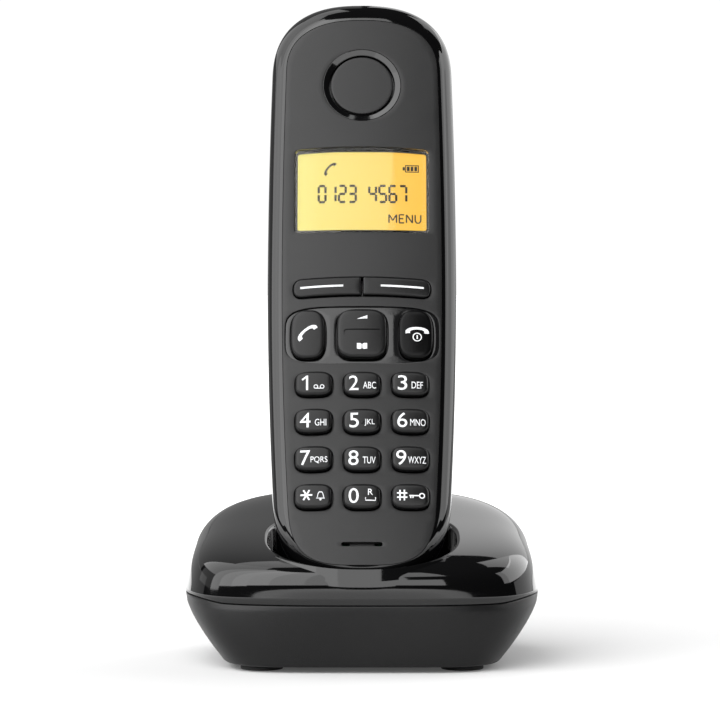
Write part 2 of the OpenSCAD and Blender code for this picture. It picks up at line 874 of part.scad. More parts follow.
module soft_key_left() {
    soft_key(-1);
}

module soft_key_right() {
    soft_key(1);
}

base_upper_shell();
base_lower_shell();
base_feet();
base_screws();
base_pcb();
base_rf_shield();
line_jack();
power_jack();
page_button();
page_switch();
charge_pin_block();
charge_springs();
charge_pin_left();
charge_pin_right();
handset_front_shell();
handset_rear_shell();
face_panel();
earpiece_ring();
earpiece_cap();
receiver_capsule();
display_window();
lcd_panel();
lcd_backlight();
lcd_frame();
function_key_plate();
key_mat();
dome_sheet();
handset_pcb();
handset_rf_shield();
handset_antenna();
microphone();
ringer_speaker();
battery_bay();
battery_contacts();
battery_cell_left();
battery_cell_right();
handset_charge_pads();
handset_screws();
battery_cover();
soft_key_left();
soft_key_right();
talk_key();
nav_key();
end_key();
digit_key("key_1");  // key_1
digit_key("key_2");  // key_2
digit_key("key_3");  // key_3
digit_key("key_4");  // key_4
digit_key("key_5");  // key_5
digit_key("key_6");  // key_6
digit_key("key_7");  // key_7
digit_key("key_8");  // key_8
digit_key("key_9");  // key_9
digit_key("key_star");  // key_star
digit_key("key_0");  // key_0
digit_key("key_hash");  // key_hash
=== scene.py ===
"""Cordless telephone in its charging base: the looks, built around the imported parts.

Shapes are worked out in millimetres, in two sets of axes: the base's own (Z up, the middle of the
base at x = y = 0) and the handset's own (x across, s from the lower end to the top, w out of the face).
"""
import json
import math
from bisect import bisect_left

import bmesh
import bpy
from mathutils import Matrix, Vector


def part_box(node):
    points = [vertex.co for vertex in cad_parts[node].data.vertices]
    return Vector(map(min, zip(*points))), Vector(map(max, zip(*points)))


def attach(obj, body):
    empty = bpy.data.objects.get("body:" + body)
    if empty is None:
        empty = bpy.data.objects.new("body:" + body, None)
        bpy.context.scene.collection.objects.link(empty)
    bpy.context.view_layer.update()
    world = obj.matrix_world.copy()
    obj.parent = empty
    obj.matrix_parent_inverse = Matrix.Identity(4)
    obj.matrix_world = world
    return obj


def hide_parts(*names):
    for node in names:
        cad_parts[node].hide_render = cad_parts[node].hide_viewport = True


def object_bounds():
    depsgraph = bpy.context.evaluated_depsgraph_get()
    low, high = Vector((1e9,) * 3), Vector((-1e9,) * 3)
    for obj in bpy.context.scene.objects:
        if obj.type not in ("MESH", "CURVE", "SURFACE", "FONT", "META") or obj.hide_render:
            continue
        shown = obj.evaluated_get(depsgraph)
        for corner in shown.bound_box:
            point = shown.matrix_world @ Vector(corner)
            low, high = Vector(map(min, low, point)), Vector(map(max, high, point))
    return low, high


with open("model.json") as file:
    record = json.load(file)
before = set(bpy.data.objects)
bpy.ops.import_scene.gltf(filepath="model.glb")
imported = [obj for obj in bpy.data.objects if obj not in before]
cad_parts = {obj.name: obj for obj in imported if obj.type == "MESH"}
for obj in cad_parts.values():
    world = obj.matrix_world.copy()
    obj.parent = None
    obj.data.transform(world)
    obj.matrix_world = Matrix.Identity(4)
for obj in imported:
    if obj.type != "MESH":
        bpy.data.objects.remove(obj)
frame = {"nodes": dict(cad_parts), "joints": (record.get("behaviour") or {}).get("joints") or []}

cad_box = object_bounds()
MM = 0.001

# ---------------------------------------- frames

lift_joint = next(j for j in frame["joints"] if j["name"] == "handset_lift")
UP_HANDSET = Vector(lift_joint["axis"]).normalized()
OUT_OF_FACE = Vector((0, -UP_HANDSET.z, UP_HANDSET.y))

LOW_END = 22
PANEL_INSET = 3.7
PANEL_LOW_END = 17.3
PANEL_CLEAR = 0.05
PANEL_THICK = 1.8
UNDER_PANEL = -PANEL_THICK - 0.05

panel_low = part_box("face_panel")[0]
panel_start = (LOW_END - PANEL_LOW_END + PANEL_CLEAR) * MM
HANDSET_ORIGIN = Vector((
    0,
    panel_low.y - UP_HANDSET.y * panel_start,
    panel_low.z - UP_HANDSET.z * panel_start + OUT_OF_FACE.z * PANEL_THICK * MM,
))

upper_low, upper_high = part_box("base_upper_shell")
BASE_CENTRE_Y = (upper_low.y + upper_high.y) / 2
HALF_X = (upper_high.x - upper_low.x) / 2 / MM
HALF_Y = (upper_high.y - upper_low.y) / 2 / MM

# The face is an arc of this radius across; the curve fades out between these two heights of w
FACE_RADIUS = 190
FADE_LOW = -4.2
FADE_HIGH = -1


def straight_point(x, s, w):
    """Point of the handset's axes, in the row frame."""
    return HANDSET_ORIGIN + Vector((x * MM, 0, 0)) + UP_HANDSET * (s * MM) + OUT_OF_FACE * (w * MM)


def handset_point(x, s, w):
    """The same for what follows the gently curved face."""
    part = min(max((w - FADE_LOW) / (FADE_HIGH - FADE_LOW), 0), 1)
    return straight_point(x, s, w - part * x * x / (2 * FACE_RADIUS))


def base_point(x, y, z):
    """Point of the base's axes, in the row frame."""
    return Vector((x * MM, y * MM + BASE_CENTRE_Y, z * MM))


def row_point(x, y, z):
    """Millimetres in the row frame."""
    return Vector((x * MM, y * MM, z * MM))


# ---------------------------------------- outlines
# A name with SQUARE in it is the exponent of a superellipse: 2 is an ellipse, more is squarer

def spow(value, exponent):
    """Signed power, for superellipses."""
    return math.copysign(abs(value) ** exponent, value)


def even(points, count, closed=True):
    """The same line through points spaced evenly along it."""
    line = points + points[:1] if closed else points
    along = [0.0]
    for a, b in zip(line, line[1:]):
        along.append(along[-1] + math.dist(a, b))
    gaps = count if closed else count - 1
    result = []
    k = 0
    for i in range(count):
        want = along[-1] * i / gaps
        while k < len(line) - 2 and along[k + 1] < want:
            k += 1
        t = (want - along[k]) / max(along[k + 1] - along[k], 1e-12)
        result.append(tuple(p + (q - p) * t for p, q in zip(line[k], line[k + 1])))
    return result


def superellipse(rx, ry, n, count, x=0.0, y=0.0):
    """Closed outline with evenly spaced points."""
    fine = 1440
    points = []
    for i in range(fine):
        a = 2 * math.pi * i / fine
        points.append((x + rx * spow(math.cos(a), 2 / n), y + ry * spow(math.sin(a), 2 / n)))
    return even(points, count)


def arc(x, y, radius, angles):
    return [(x + radius * math.cos(a), y + radius * math.sin(a)) for a in angles]


def circle(x, y, radius, count=32):
    return arc(x, y, radius, [2 * math.pi * i / count for i in range(count)])


def quarter(steps):
    """Angles of a quarter turn."""
    return [math.pi / 2 * k / steps for k in range(steps + 1)]


def inset(points, d):
    """Outline moved inwards along its own normals."""
    moved = []
    for i, (x, y) in enumerate(points):
        ax, ay = points[i - 1]
        bx, by = points[(i + 1) % len(points)]
        tx, ty = bx - ax, by - ay
        size = math.hypot(tx, ty)
        moved.append((x - d * ty / size, y + d * tx / size))
    return moved


HANDSET_LENGTH = 157.2
HANDSET_HALF = 23.75
WIDEST_S = 85
LOW_FLARE = 0.00044
TOP_FLARE = 0.00027
LOW_SQUARE = 2.15
TOP_END = 20.5
TOP_SQUARE = 2.5
PANEL_TOP_END = 14
PANEL_SQUARE = 3.4


def handset_half_at(s):
    flare = LOW_FLARE if s < WIDEST_S else TOP_FLARE
    return HANDSET_HALF - flare * (s - WIDEST_S) ** 2


def handset_loop(d, low, n_low, top, n_top):
    """Closed outline: the sides come in by d, the ends are superellipse quarters."""
    fine = 240
    s_top = HANDSET_LENGTH - TOP_END
    low_arc, side, top_arc = [], [], []
    for k in range(fine + 1):
        a = math.pi / 2 * k / fine
        s = LOW_END - low * spow(math.cos(a), 2 / n_low)
        low_arc.append(((handset_half_at(s) - d) * spow(math.sin(a), 2 / n_low), s))
        s = LOW_END + (s_top - LOW_END) * k / fine
        side.append((handset_half_at(s) - d, s))
        s = s_top + top * spow(math.sin(a), 2 / n_top)
        top_arc.append(((handset_half_at(s) - d) * spow(math.cos(a), 2 / n_top), s))
    right = []
    for line, count in ((low_arc, 52), (side, 64), (top_arc, 48)):
        right += even(line, count, closed=False)[:-1]
    right.append((0.0, s_top + top))
    return right + [(-x, s) for x, s in reversed(right[1:-1])]


def handset_outline(d):
    return handset_loop(d, LOW_END - d, LOW_SQUARE, TOP_END - d, TOP_SQUARE)


def panel_outline(d):
    return handset_loop(PANEL_INSET + d, PANEL_LOW_END - d, PANEL_SQUARE, PANEL_TOP_END - d, TOP_SQUARE)


def at_height(points, w):
    return [(x, y, w) for x, y in points]


# ---------------------------------------- meshes

def loft(rings, loop=False):
    """Vertices and faces through rings that have the same number of points."""
    n = len(rings[0])
    vertices = [p for ring in rings for p in ring]
    faces = []
    for j in range(len(rings) if loop else len(rings) - 1):
        a = j * n
        b = (j + 1) % len(rings) * n
        for i in range(n):
            k = (i + 1) % n
            faces.append((a + i, a + k, b + k, b + i))
    return vertices, faces


def solid(rings):
    """The same with both ends closed."""
    n = len(rings[0])
    vertices, faces = loft(rings)
    ends = [tuple(range(n - 1, -1, -1)), tuple(range(len(vertices) - n, len(vertices)))]
    return vertices, faces + ends


def joined(*shapes):
    """Several (vertices, faces) shapes as one."""
    vertices, faces = [], []
    for v, f in shapes:
        start = len(vertices)
        vertices += v
        faces += [tuple(i + start for i in face) for face in f]
    return vertices, faces


def lathe(profile, count=96, x=0.0, y=0.0):
    """Closed solid of revolution about the third axis; the profile is a list of (radius, height)."""
    return solid([at_height(circle(x, y, r, count), h) for r, h in profile])


def lathe_along(profile, x, z, count):
    """The same about a line along the second axis."""
    rings = [[(a, y, b) for a, b in circle(x, z, r, count)] for r, y in profile]
    return solid(rings)


# Points closer than this, in millimetres, become one
WELD = 1e-4
CURVE_WELD = 1e-5


def linked(name, data):
    """New object in the scene."""
    obj = bpy.data.objects.new(name, data)
    bpy.context.scene.collection.objects.link(obj)
    return obj


def evaluated_mesh(obj):
    """New mesh of an object as its modifiers or its curve settings make it."""
    return bpy.data.meshes.new_from_object(obj.evaluated_get(bpy.context.evaluated_depsgraph_get()))


def curve_shape(curve):
    """The (vertices, faces) of a filled curve, and the curve is thrown away."""
    holder = linked("holder", curve)
    mesh = evaluated_mesh(holder)
    shape = bmesh.new()
    shape.from_mesh(mesh)
    bmesh.ops.remove_doubles(shape, verts=shape.verts, dist=CURVE_WELD)
    vertices = [tuple(v.co) for v in shape.verts]
    faces = [tuple(v.index for v in f.verts) for f in shape.faces]
    shape.free()
    bpy.data.objects.remove(holder)
    bpy.data.meshes.remove(mesh)
    bpy.data.curves.remove(curve)
    return vertices, faces


def plate(loops, low, high, edge=0.0):
    """Flat plate between two heights, with holes, its upper and lower edges rounded by edge."""
    curve = bpy.data.curves.new("plate", "CURVE")
    curve.dimensions = "2D"
    curve.fill_mode = "BOTH"
    for loop in loops:
        spline = curve.splines.new("POLY")
        spline.points.add(len(loop) - 1)
        for p, (x, y) in zip(spline.points, loop):
            p.co = (x, y, 0, 1)
        spline.use_cyclic_u = True
    curve.extrude = (high - low) / 2 - edge
    curve.bevel_depth = edge
    curve.bevel_resolution = 2
    curve.offset = -edge
    vertices, faces = curve_shape(curve)
    return [(x, y, z + (low + high) / 2) for x, y, z in vertices], faces


PRINT_HALF = 0.02


def flat(*loops):
    """Thin flat print."""
    return plate(loops, -PRINT_HALF, PRINT_HALF)


def lettering(text, x, y, width, height):
    """Thin lettering that fills the box of this width and height round x, y exactly."""
    curve = bpy.data.curves.new("lettering", "FONT")
    curve.body = text
    curve.size = 1
    curve.resolution_u = 6
    curve.extrude = 0.5
    vertices, faces = curve_shape(curve)
    xs = [v[0] for v in vertices]
    ys = [v[1] for v in vertices]
    kx = width / (max(xs) - min(xs))
    ky = height / (max(ys) - min(ys))
    x0 = x - kx * (max(xs) + min(xs)) / 2
    y0 = y - ky * (max(ys) + min(ys)) / 2
    return [(x0 + kx * a, y0 + ky * b, 2 * PRINT_HALF * c) for a, b, c in vertices], faces


def ribbon(line, width):
    """Outline of a stroke along a line."""
    left, right = [], []
    w = width / 2
    for i, (x, y) in enumerate(line):
        ax, ay = line[max(i - 1, 0)]
        bx, by = line[min(i + 1, len(line) - 1)]
        tx, ty = bx - ax, by - ay
        size = math.hypot(tx, ty)
        left.append((x - ty / size * w, y + tx / size * w))
        right.append((x + ty / size * w, y - tx / size * w))
    return right + left[::-1]


def new_mesh(name, shape, place, weld=False):
    """Mesh from a shape in its own axes, its faces all turned outwards."""
    vertices, faces = shape
    mesh = bpy.data.meshes.new(name)
    mesh.from_pydata([place(*v) for v in vertices], [], faces)
    work = bmesh.new()
    work.from_mesh(mesh)
    if weld:
        bmesh.ops.remove_doubles(work, verts=work.verts, dist=WELD * MM)
    bmesh.ops.recalc_face_normals(work, faces=work.faces)
    work.to_mesh(mesh)
    work.free()
    return mesh


def smooth(mesh, sharp):
    """Smooth shading, with edges over the sharp angle, in degrees, left hard."""
    mesh.shade_smooth()
    mesh.set_sharp_from_angle(angle=math.radians(sharp))


def piece(name, shape, place, body, nodes, material, sharp=35):
    """Object from a shape in its own axes, riding on a body, standing for nodes."""
    mesh = new_mesh(name, shape, place, weld=True)
    mesh.validate()
    smooth(mesh, sharp)
    mesh.materials.append(material)
    obj = linked(name, mesh)
    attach(obj, body)
    if nodes:
        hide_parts(*nodes)
    return obj


def on_handset(name, shape, node, material, sharp=50):
    """A piece of the handset's own body."""
    return piece(name, shape, handset_point, "handset", [node], material, sharp)


def printed(name, shape, body, material):
    """Print that rides on a body and stands for no node."""
    piece(name, shape, handset_point, body, [], material, sharp=30)


def key_cap(name, shape, material):
    """The piece for a key that moves on its own body, which has the node's name."""
    return piece(name + "_cap", shape, handset_point, name, [name], material, sharp=50)


def apply_modifier(obj, modifier):
    """The object's mesh with its one modifier worked into it."""
    result = evaluated_mesh(obj)
    obj.modifiers.remove(modifier)
    old = obj.data
    obj.data = result
    bpy.data.meshes.remove(old)
    result.name = obj.name


def cut(obj, cutters, operation="DIFFERENCE", sharp=35):
    """Boolean with other shapes, given as (shape, place) pairs."""
    for shape, place in cutters:
        mesh = new_mesh("cutter", shape, place)
        tool = linked("cutter", mesh)
        modifier = obj.modifiers.new("cut", "BOOLEAN")
        modifier.operation = operation
        modifier.solver = "EXACT"
        modifier.object = tool
        apply_modifier(obj, modifier)
        bpy.data.objects.remove(tool)
        bpy.data.meshes.remove(mesh)
    smooth(obj.data, sharp)


# ---------------------------------------- materials

def set_inputs(node, **values):
    """Values of a node's inputs; an underscore stands for a space."""
    for key, value in values.items():
        node.inputs[key.replace("_", " ")].default_value = value


class Surface:
    """A Principled material in the making, with the textures that feed it."""

    def __init__(self, name, **values):
        self.material = bpy.data.materials.new(name)
        self.material.use_nodes = True
        self.nodes = self.material.node_tree.nodes
        self.links = self.material.node_tree.links
        self.nodes.clear()
        output = self.nodes.new("ShaderNodeOutputMaterial")
        self.shader = self.nodes.new("ShaderNodeBsdfPrincipled")
        self.links.new(self.shader.outputs[0], output.inputs[0])
        set_inputs(self.shader, **values)

    def plug(self, name, value):
        self.links.new(value, self.shader.inputs[name])

    def place(self):
        """The object's own place, in metres."""
        return self.nodes.new("ShaderNodeTexCoord").outputs["Object"]

    def noise(self, scale, detail=3.0, roughness=0.5):
        """Noise, scale in waves per metre."""
        texture = self.nodes.new("ShaderNodeTexNoise")
        set_inputs(texture, Scale=scale, Detail=detail, Roughness=roughness)
        self.links.new(self.place(), texture.inputs["Vector"])
        return texture.outputs["Fac"]

    def spread(self, value, low, high, start=0.3, end=0.7):
        """A value from start to end carried to low to high."""
        node = self.nodes.new("ShaderNodeMapRange")
        set_inputs(node, From_Min=start, From_Max=end, To_Min=low, To_Max=high)
        self.links.new(value, node.inputs["Value"])
        return node.outputs[0]

    def tint(self, value, low, high, start=0.3, end=0.7):
        """A value turned into a colour between two colours."""
        ramp = self.nodes.new("ShaderNodeValToRGB")
        for stop, position, colour in zip(ramp.color_ramp.elements, (start, end), (low, high)):
            stop.position = position
            stop.color = (*colour, 1)
        self.links.new(value, ramp.inputs[0])
        return ramp

    def colour(self, value, low, high):
        """Base colour that wanders between two colours with a value."""
        self.plug("Base Color", self.tint(value, low, high).outputs[0])

    def bump(self, height, distance, strength):
        node = self.nodes.new("ShaderNodeBump")
        set_inputs(node, Strength=strength, Distance=distance)
        self.links.new(height, node.inputs["Height"])
        self.plug("Normal", node.outputs[0])


def near_grey(level, blue):
    return level, level, level + blue


def moulded_plastic(name, dark, light, blue, rough, grain, grain_depth, shine=0.5):
    """Moulded plastic between two near-greys: fine grain, slow change of shade and gloss."""
    surface = Surface(name, IOR=1.5, Specular_IOR_Level=shine)
    surface.colour(surface.noise(45, 4), near_grey(dark, blue), near_grey(light, blue))
    fine = surface.noise(grain, 2)
    surface.plug("Roughness", surface.spread(surface.noise(160, 5, 0.6), rough * 0.92, rough * 1.08))
    surface.bump(fine, grain_depth, 0.6)
    return surface.material


def polished_plastic(name, dark, light, blue):
    """Piano-black shell: mirror gloss with a very slight waviness and faint polishing haze."""
    surface = Surface(name, IOR=1.5)
    surface.colour(surface.noise(30, 2), near_grey(dark, blue), near_grey(light, blue))
    surface.plug("Roughness", surface.spread(surface.noise(700, 6, 0.7), 0.035, 0.065))
    surface.bump(surface.noise(120, 1), 0.00002, 0.25)
    return surface.material


def ink(name, colour, glow=0.12):
    """Printed legend: slightly uneven ink, which also glows by glow: painted light."""
    surface = Surface(name, Roughness=0.55, Emission_Color=(*colour, 1), Emission_Strength=glow)
    surface.colour(surface.noise(2600), [0.9 * c for c in colour], colour)
    return surface.material


def metal(name, colour, rough):
    """Plated or bare metal, with fine marks that are duller and rougher."""
    surface = Surface(name, Metallic=1)
    marks = surface.noise(900, 6, 0.7)
    surface.colour(marks, [0.8 * c for c in colour], colour)
    surface.plug("Roughness", surface.spread(marks, rough * 0.8, rough * 1.3))
    surface.bump(marks, 0.00001, 0.3)
    return surface.material


def circuit_board(name):
    """Green solder mask with copper tracks showing through."""
    surface = Surface(name)
    tracks = surface.nodes.new("ShaderNodeTexBrick")
    set_inputs(tracks, Scale=240, Mortar_Size=0.03, Color1=(0.010, 0.085, 0.035, 1),
               Color2=(0.012, 0.105, 0.045, 1), Mortar=(0.04, 0.19, 0.08, 1))
    surface.links.new(surface.place(), tracks.inputs["Vector"])
    surface.plug("Base Color", tracks.outputs["Color"])
    surface.plug("Roughness", surface.spread(surface.noise(1500, 2), 0.25, 0.4))
    surface.bump(tracks.outputs["Fac"], 0.00003, 0.5)
    return surface.material


def battery_wrap(name):
    """Shrink-wrapped cell: wrinkled green film."""
    surface = Surface(name, Roughness=0.3)
    wrinkles = surface.noise(500, 4)
    surface.colour(wrinkles, (0.03, 0.22, 0.07), (0.05, 0.30, 0.10))
    surface.bump(wrinkles, 0.00004, 0.4)
    return surface.material


def mixed(left, right, part):
    """Colour part of the way from left to right."""
    return (*[(1 - part) * a + part * b for a, b in zip(left, right)], 1)


def backlit_glass_painted_reflection(name, left, right):
    """Lit display: glows from its backlight, pale on the left of its split, deeper amber on the right;
    the pale left part is a painted reflection.
    """
    surface = Surface(name, Base_Color=(0.06, 0.05, 0.02, 1), Specular_IOR_Level=0.1,
                      Emission_Strength=1, Roughness=0.35)
    parts = surface.nodes.new("ShaderNodeSeparateXYZ")
    surface.links.new(surface.place(), parts.inputs[0])
    slant = surface.nodes.new("ShaderNodeMath")
    slant.operation = "MULTIPLY_ADD"
    slant.inputs[1].default_value = DISPLAY_SLANT
    surface.links.new(parts.outputs["Z"], slant.inputs[0])
    surface.links.new(parts.outputs["X"], slant.inputs[2])
    across = surface.spread(slant.outputs[0], 0, 1, DISPLAY_LEFT, DISPLAY_RIGHT)
    # Pale left colour (painted reflection) turning to the amber glow at a slanted split
    ramp = surface.tint(across, left, right, 0, 1)
    for position, part in ((0.70, 0.55), (0.715, 0.85)):
        ramp.color_ramp.elements.new(position).color = mixed(left, right, part)
    surface.plug("Emission Color", ramp.outputs[0])
    return surface.material


def clear_plastic(name):
    """Clear window: almost no haze, a slight warm tint."""
    surface = Surface(name, Base_Color=(1, 0.99, 0.96, 1), Transmission_Weight=1, IOR=1.2)
    surface.plug("Roughness", surface.spread(surface.noise(900, 4), 0.01, 0.03))
    return surface.material


display_low, display_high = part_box("lcd_panel")
# Slant and span of the split between the painted reflection on the left and the amber glow on the right
DISPLAY_SLANT = -0.06
DISPLAY_LEFT = display_low.x + DISPLAY_SLANT * display_high.z
DISPLAY_RIGHT = display_high.x + DISPLAY_SLANT * display_low.z

# Plastics: name, two grey levels and what the blue has more, roughness, grain and its depth, shine
BLACK = polished_plastic("polished_black", 0.0025, 0.0035, 0.0002)
SATIN = moulded_plastic("satin_face", 0.010, 0.012, 0.0002, 0.36, 4200, 0.00003, 0.31)
KEY_SATIN = moulded_plastic("satin_keys", 0.008, 0.010, 0.0002, 0.23, 5200, 0.00002, 0.22)
# End key: a darker, duller copy of the key plastic, painted shade
END_KEY_PAINTED_SHADE = moulded_plastic("end_key_satin_painted_shade", 0.003, 0.004, 0.0002, 0.2, 5200, 0.00002, 0.1)
TUB_SATIN = moulded_plastic("satin_tub", 0.006, 0.008, 0.0003, 0.4, 3600, 0.00004, 0.27)
PLATE_GLOSS = moulded_plastic("gloss_plate", 0.006, 0.008, 0.0003, 0.12, 2500, 0.00001)
BACK_SATIN = moulded_plastic("satin_back", 0.006, 0.008, 0.0003, 0.3, 4200, 0.00003)
RUBBER = moulded_plastic("rubber", 0.015, 0.022, 0.0005, 0.75, 1800, 0.00006)
SOCKET = moulded_plastic("socket_plastic", 0.010, 0.014, 0.0005, 0.5, 3000, 0.00003)
SILICONE = moulded_plastic("silicone_mat", 0.30, 0.36, 0, 0.6, 1500, 0.00004)
FILM = moulded_plastic("clear_film", 0.55, 0.62, -0.05, 0.35, 1200, 0.00002)
DIFFUSER = moulded_plastic("white_diffuser", 0.75, 0.82, -0.03, 0.4, 1200, 0.00002)
# White print that glows a little: painted light
WHITE_INK_PAINTED_GLOW = ink("white_ink_painted_glow", (0.85, 0.86, 0.88))
DARK_PIXEL = ink("dark_pixel", (0.020, 0.014, 0.008), 0)
STEEL = metal("nickel_plate", (0.62, 0.61, 0.59), 0.3)
GOLD = metal("gold_plate", (0.85, 0.62, 0.26), 0.22)
TIN = metal("tin_shield", (0.52, 0.53, 0.55), 0.38)
BOARD = circuit_board("circuit_board")
CELL = battery_wrap("battery_wrap")
# Amber glow of the backlight; the pale colour on its left is a painted reflection
LCD = backlit_glass_painted_reflection("lit_display_painted_reflection", (0.84, 0.77, 0.24), (0.97, 0.53, 0.065))
CLEAR = clear_plastic("clear_window")

# ---------------------------------------- handset shells

# Depths are below the face; BACK_ROUND is how far the back's rounding comes in from the outline
BEVEL_DEPTH = 6.0
SEAM_DEPTH = 9.0
SHELL_WALL = 1.8
HANDSET_DEPTH = 27.0
BACK_ROUND = 20.0
BACK_SQUARE = 2.6
BACK_FLAT = 17.0
RING_SPACING = 2.4
SCREW_PLACES = [(-13.2, 9), (13.2, 9), (-16.5, 142), (16.5, 142)]
SCREW_HOLE = 2.1
RINGER_S = 122
PIN_X = 7
PIN_W = -13
PAD_HALF = 2.1
BEHIND = -40
BEVEL_START = 17


def between(inner, outer, t):
    return [(a[0] + (b[0] - a[0]) * t, a[1] + (b[1] - a[1]) * t) for a, b in zip(inner, outer)]


def front_shell():
    """Polished frame: rounded bevel from the face panel down to the seam, hollow behind."""
    outer = handset_outline(0)
    inner = panel_outline(0)
    steps = 20
    start = math.radians(BEVEL_START)
    rings = [at_height(inner, UNDER_PANEL), at_height(inner, -0.06)]
    for k in range(steps + 1):
        b = start + (math.pi / 2 - start) * k / steps
        t = 0.01 + 0.99 * (math.sin(b) - math.sin(start)) / (1 - math.sin(start))
        depth = BEVEL_DEPTH * (1 - math.cos(b) / math.cos(start))
        rings.append(at_height(between(inner, outer, t), -depth))
    rings.append(at_height(outer, -SEAM_DEPTH + 0.25))
    for d, w in ((0.06, -SEAM_DEPTH + 0.08), (0.25, -SEAM_DEPTH), (SHELL_WALL, -SEAM_DEPTH),
                 (SHELL_WALL, -BEVEL_DEPTH - 0.5)):
        rings.append(at_height(handset_outline(d), w))
    rings += [at_height(panel_outline(1.2), w) for w in (-3.4, UNDER_PANEL)]
    return loft(rings, loop=True)


def back_rings(inside, steps=26):
    """Rings from the seam to the flat middle of the back."""
    top = SEAM_DEPTH + 0.1
    depth = HANDSET_DEPTH - inside - SEAM_DEPTH - 0.1
    rings = []
    for k in range(steps + 1):
        g = 1 - (BACK_FLAT / BACK_ROUND) * (k / steps) ** RING_SPACING
        w = -(top + depth * (1 - g ** BACK_SQUARE) ** (1 / BACK_SQUARE))
        d = 0.15 + inside + (BACK_ROUND - inside * 0.9) * (1 - g)
        rings.append(at_height(handset_outline(d), w))
    return rings


def back_shell():
    """The whole rounded back, with its wall."""
    return solid(back_rings(0)[::-1] + back_rings(SHELL_WALL))


COVER_HALF = 16.8
COVER_LOW = 44.2
COVER_HIGH = 103.8
COVER_GAP = 0.25


def box_shape(low, high):
    x0, y0, z0 = low
    x1, y1, z1 = high
    return prism([(x0, y0), (x1, y0), (x1, y1), (x0, y1)], z0, z1)


def rounded_box_outline(x0, y0, x1, y1, radius, count=8):
    corners = [(x1 - radius, y1 - radius), (x0 + radius, y1 - radius),
               (x0 + radius, y0 + radius), (x1 - radius, y0 + radius)]
    points = []
    for turns, (x, y) in enumerate(corners):
        points += arc(x, y, radius, [math.pi / 2 * (turns + k / count) for k in range(count + 1)])
    return points


def prism(outline, low, high):
    return solid([at_height(outline, low), at_height(outline, high)])


def cylinder(x, y, radius, low, high):
    return prism(circle(x, y, radius, 48), low, high)


def cover_prism(gap):
    """Prism through the back, gap larger all round than the battery cover."""
    half = COVER_HALF + gap
    outline = rounded_box_outline(-half, COVER_LOW - gap, half, COVER_HIGH + gap, 0.3)
    return prism(outline, BEHIND, -16), handset_point


def build_handset_shells():
    """Frame, back and battery cover; the back has holes for cover, screws, ringer and charge pads."""
    on_handset("polished_frame", front_shell(), "handset_front_shell", BLACK)
    back = on_handset("rounded_back", back_shell(), "handset_rear_shell", BACK_SATIN, 40)
    holes = [cylinder(x, s, SCREW_HOLE, BEHIND, -14) for x, s in SCREW_PLACES]
    holes += [cylinder(x, RINGER_S + s, 0.6, -30, -24) for x in range(-6, 7, 3) for s in (-3, 0, 3)]
    for x in (-PIN_X, PIN_X):
        holes.append(box_shape((x - PAD_HALF, -1, PIN_W - 1.8), (x + PAD_HALF, 4, PIN_W + 1.8)))
    cut(back, [cover_prism(COVER_GAP)] + [(hole, handset_point) for hole in holes], sharp=40)
    door = piece("battery_door", back_shell(), handset_point, "battery_cover",
                 ["battery_cover"], BACK_SATIN, sharp=40)
    cut(door, [cover_prism(0)], operation="INTERSECT", sharp=40)


build_handset_shells()

# ---------------------------------------- face of the handset

# A name with HALF in it is half a size across and half a size up the handset; S is a place up it
DIGIT_LOW_S = 22.1
ROW_PITCH = 9.75
COLUMN_PITCH = 11.9
MIDDLE_DROP = 0.15
DIGIT_HALF = (4.55, 3.2)
DIGIT_SQUARE = 3.3
KEY_GAP = 0.25
FUNCTION_S = 64.5
SIDE_KEY_X = 13.4
SIDE_KEY_HALF = (4.3, 6.45)
SIDE_KEY_SQUARE = 2.9
NAV_HALF = (6.25, 6.5)
NAV_SQUARE = 3.6
NAV_GAP = 0.35
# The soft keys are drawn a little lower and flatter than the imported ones
SOFT_S = 77.35
SOFT_HALF = 2.4
SOFT_INNER = 0.25
SOFT_OUTER = 17.1
SOFT_ARCH = 0.0022
SOFT_CORNER = 0.5
SOFT_END = 0.8
WINDOW_S = 103.4
WINDOW_HALF = (16.9, 11.3)
WINDOW_CORNER = 1.0
WINDOW_ARCH = 0.0022
VIEW_HALF = (16.2, 10.4)
VIEW_CORNER = 0.5
EAR_S = 132.5
EAR_RADIUS = 9.9
CAP_RADIUS = 7.9
MIC_S = 10.1
MIC_HALF = 4.5
MIC_RADIUS = 0.5
PLATE_HALF = (19.1, 7.5)
PLATE_SQUARE = 4.5
PLATE_TOP = -0.5
PLATE_BOTTOM = -1.3

# Digit keys: node, column, row from the bottom, legend, its width, its shift to the side
DIGITS = [
    ("key_1", -1, 3, "1", 1.6, -2.2), ("key_2", 0, 3, "2", 2.35, -2.05),
    ("key_3", 1, 3, "3", 2.3, -1.9), ("key_4", -1, 2, "4", 2.6, -2.1),
    ("key_5", 0, 2, "5", 2.3, -1.95), ("key_6", 1, 2, "6", 2.45, -2.0),
    ("key_7", -1, 1, "7", 2.45, -2.05), ("key_8", 0, 1, "8", 2.5, -2.1),
    ("key_9", 1, 1, "9", 2.45, -2.3),
    ("key_star", -1, 0, "*", 2.9, -1.7), ("key_0", 0, 0, "0", 2.45, -2.05),
    ("key_hash", 1, 0, "#", 2.7, -2.1),
]
# Letters beside the digits: the word, its width, its shift to the side
LETTERS = {
    "key_2": ("ABC", 3.2, 1.85), "key_3": ("DEF", 2.8, 1.75), "key_4": ("GHI", 2.8, 1.7),
    "key_5": ("JKL", 2.5, 1.85), "key_6": ("MNO", 3.8, 1.85), "key_7": ("PQRS", 4.15, 1.35),
    "key_8": ("TUV", 3.15, 1.75), "key_9": ("WXYZ", 4.4, 1.6),
}


def digit_place(column, row):
    """Middle of a digit key; the middle column is a little lower."""
    return column * COLUMN_PITCH, DIGIT_LOW_S + row * ROW_PITCH - (MIDDLE_DROP if column == 0 else 0)


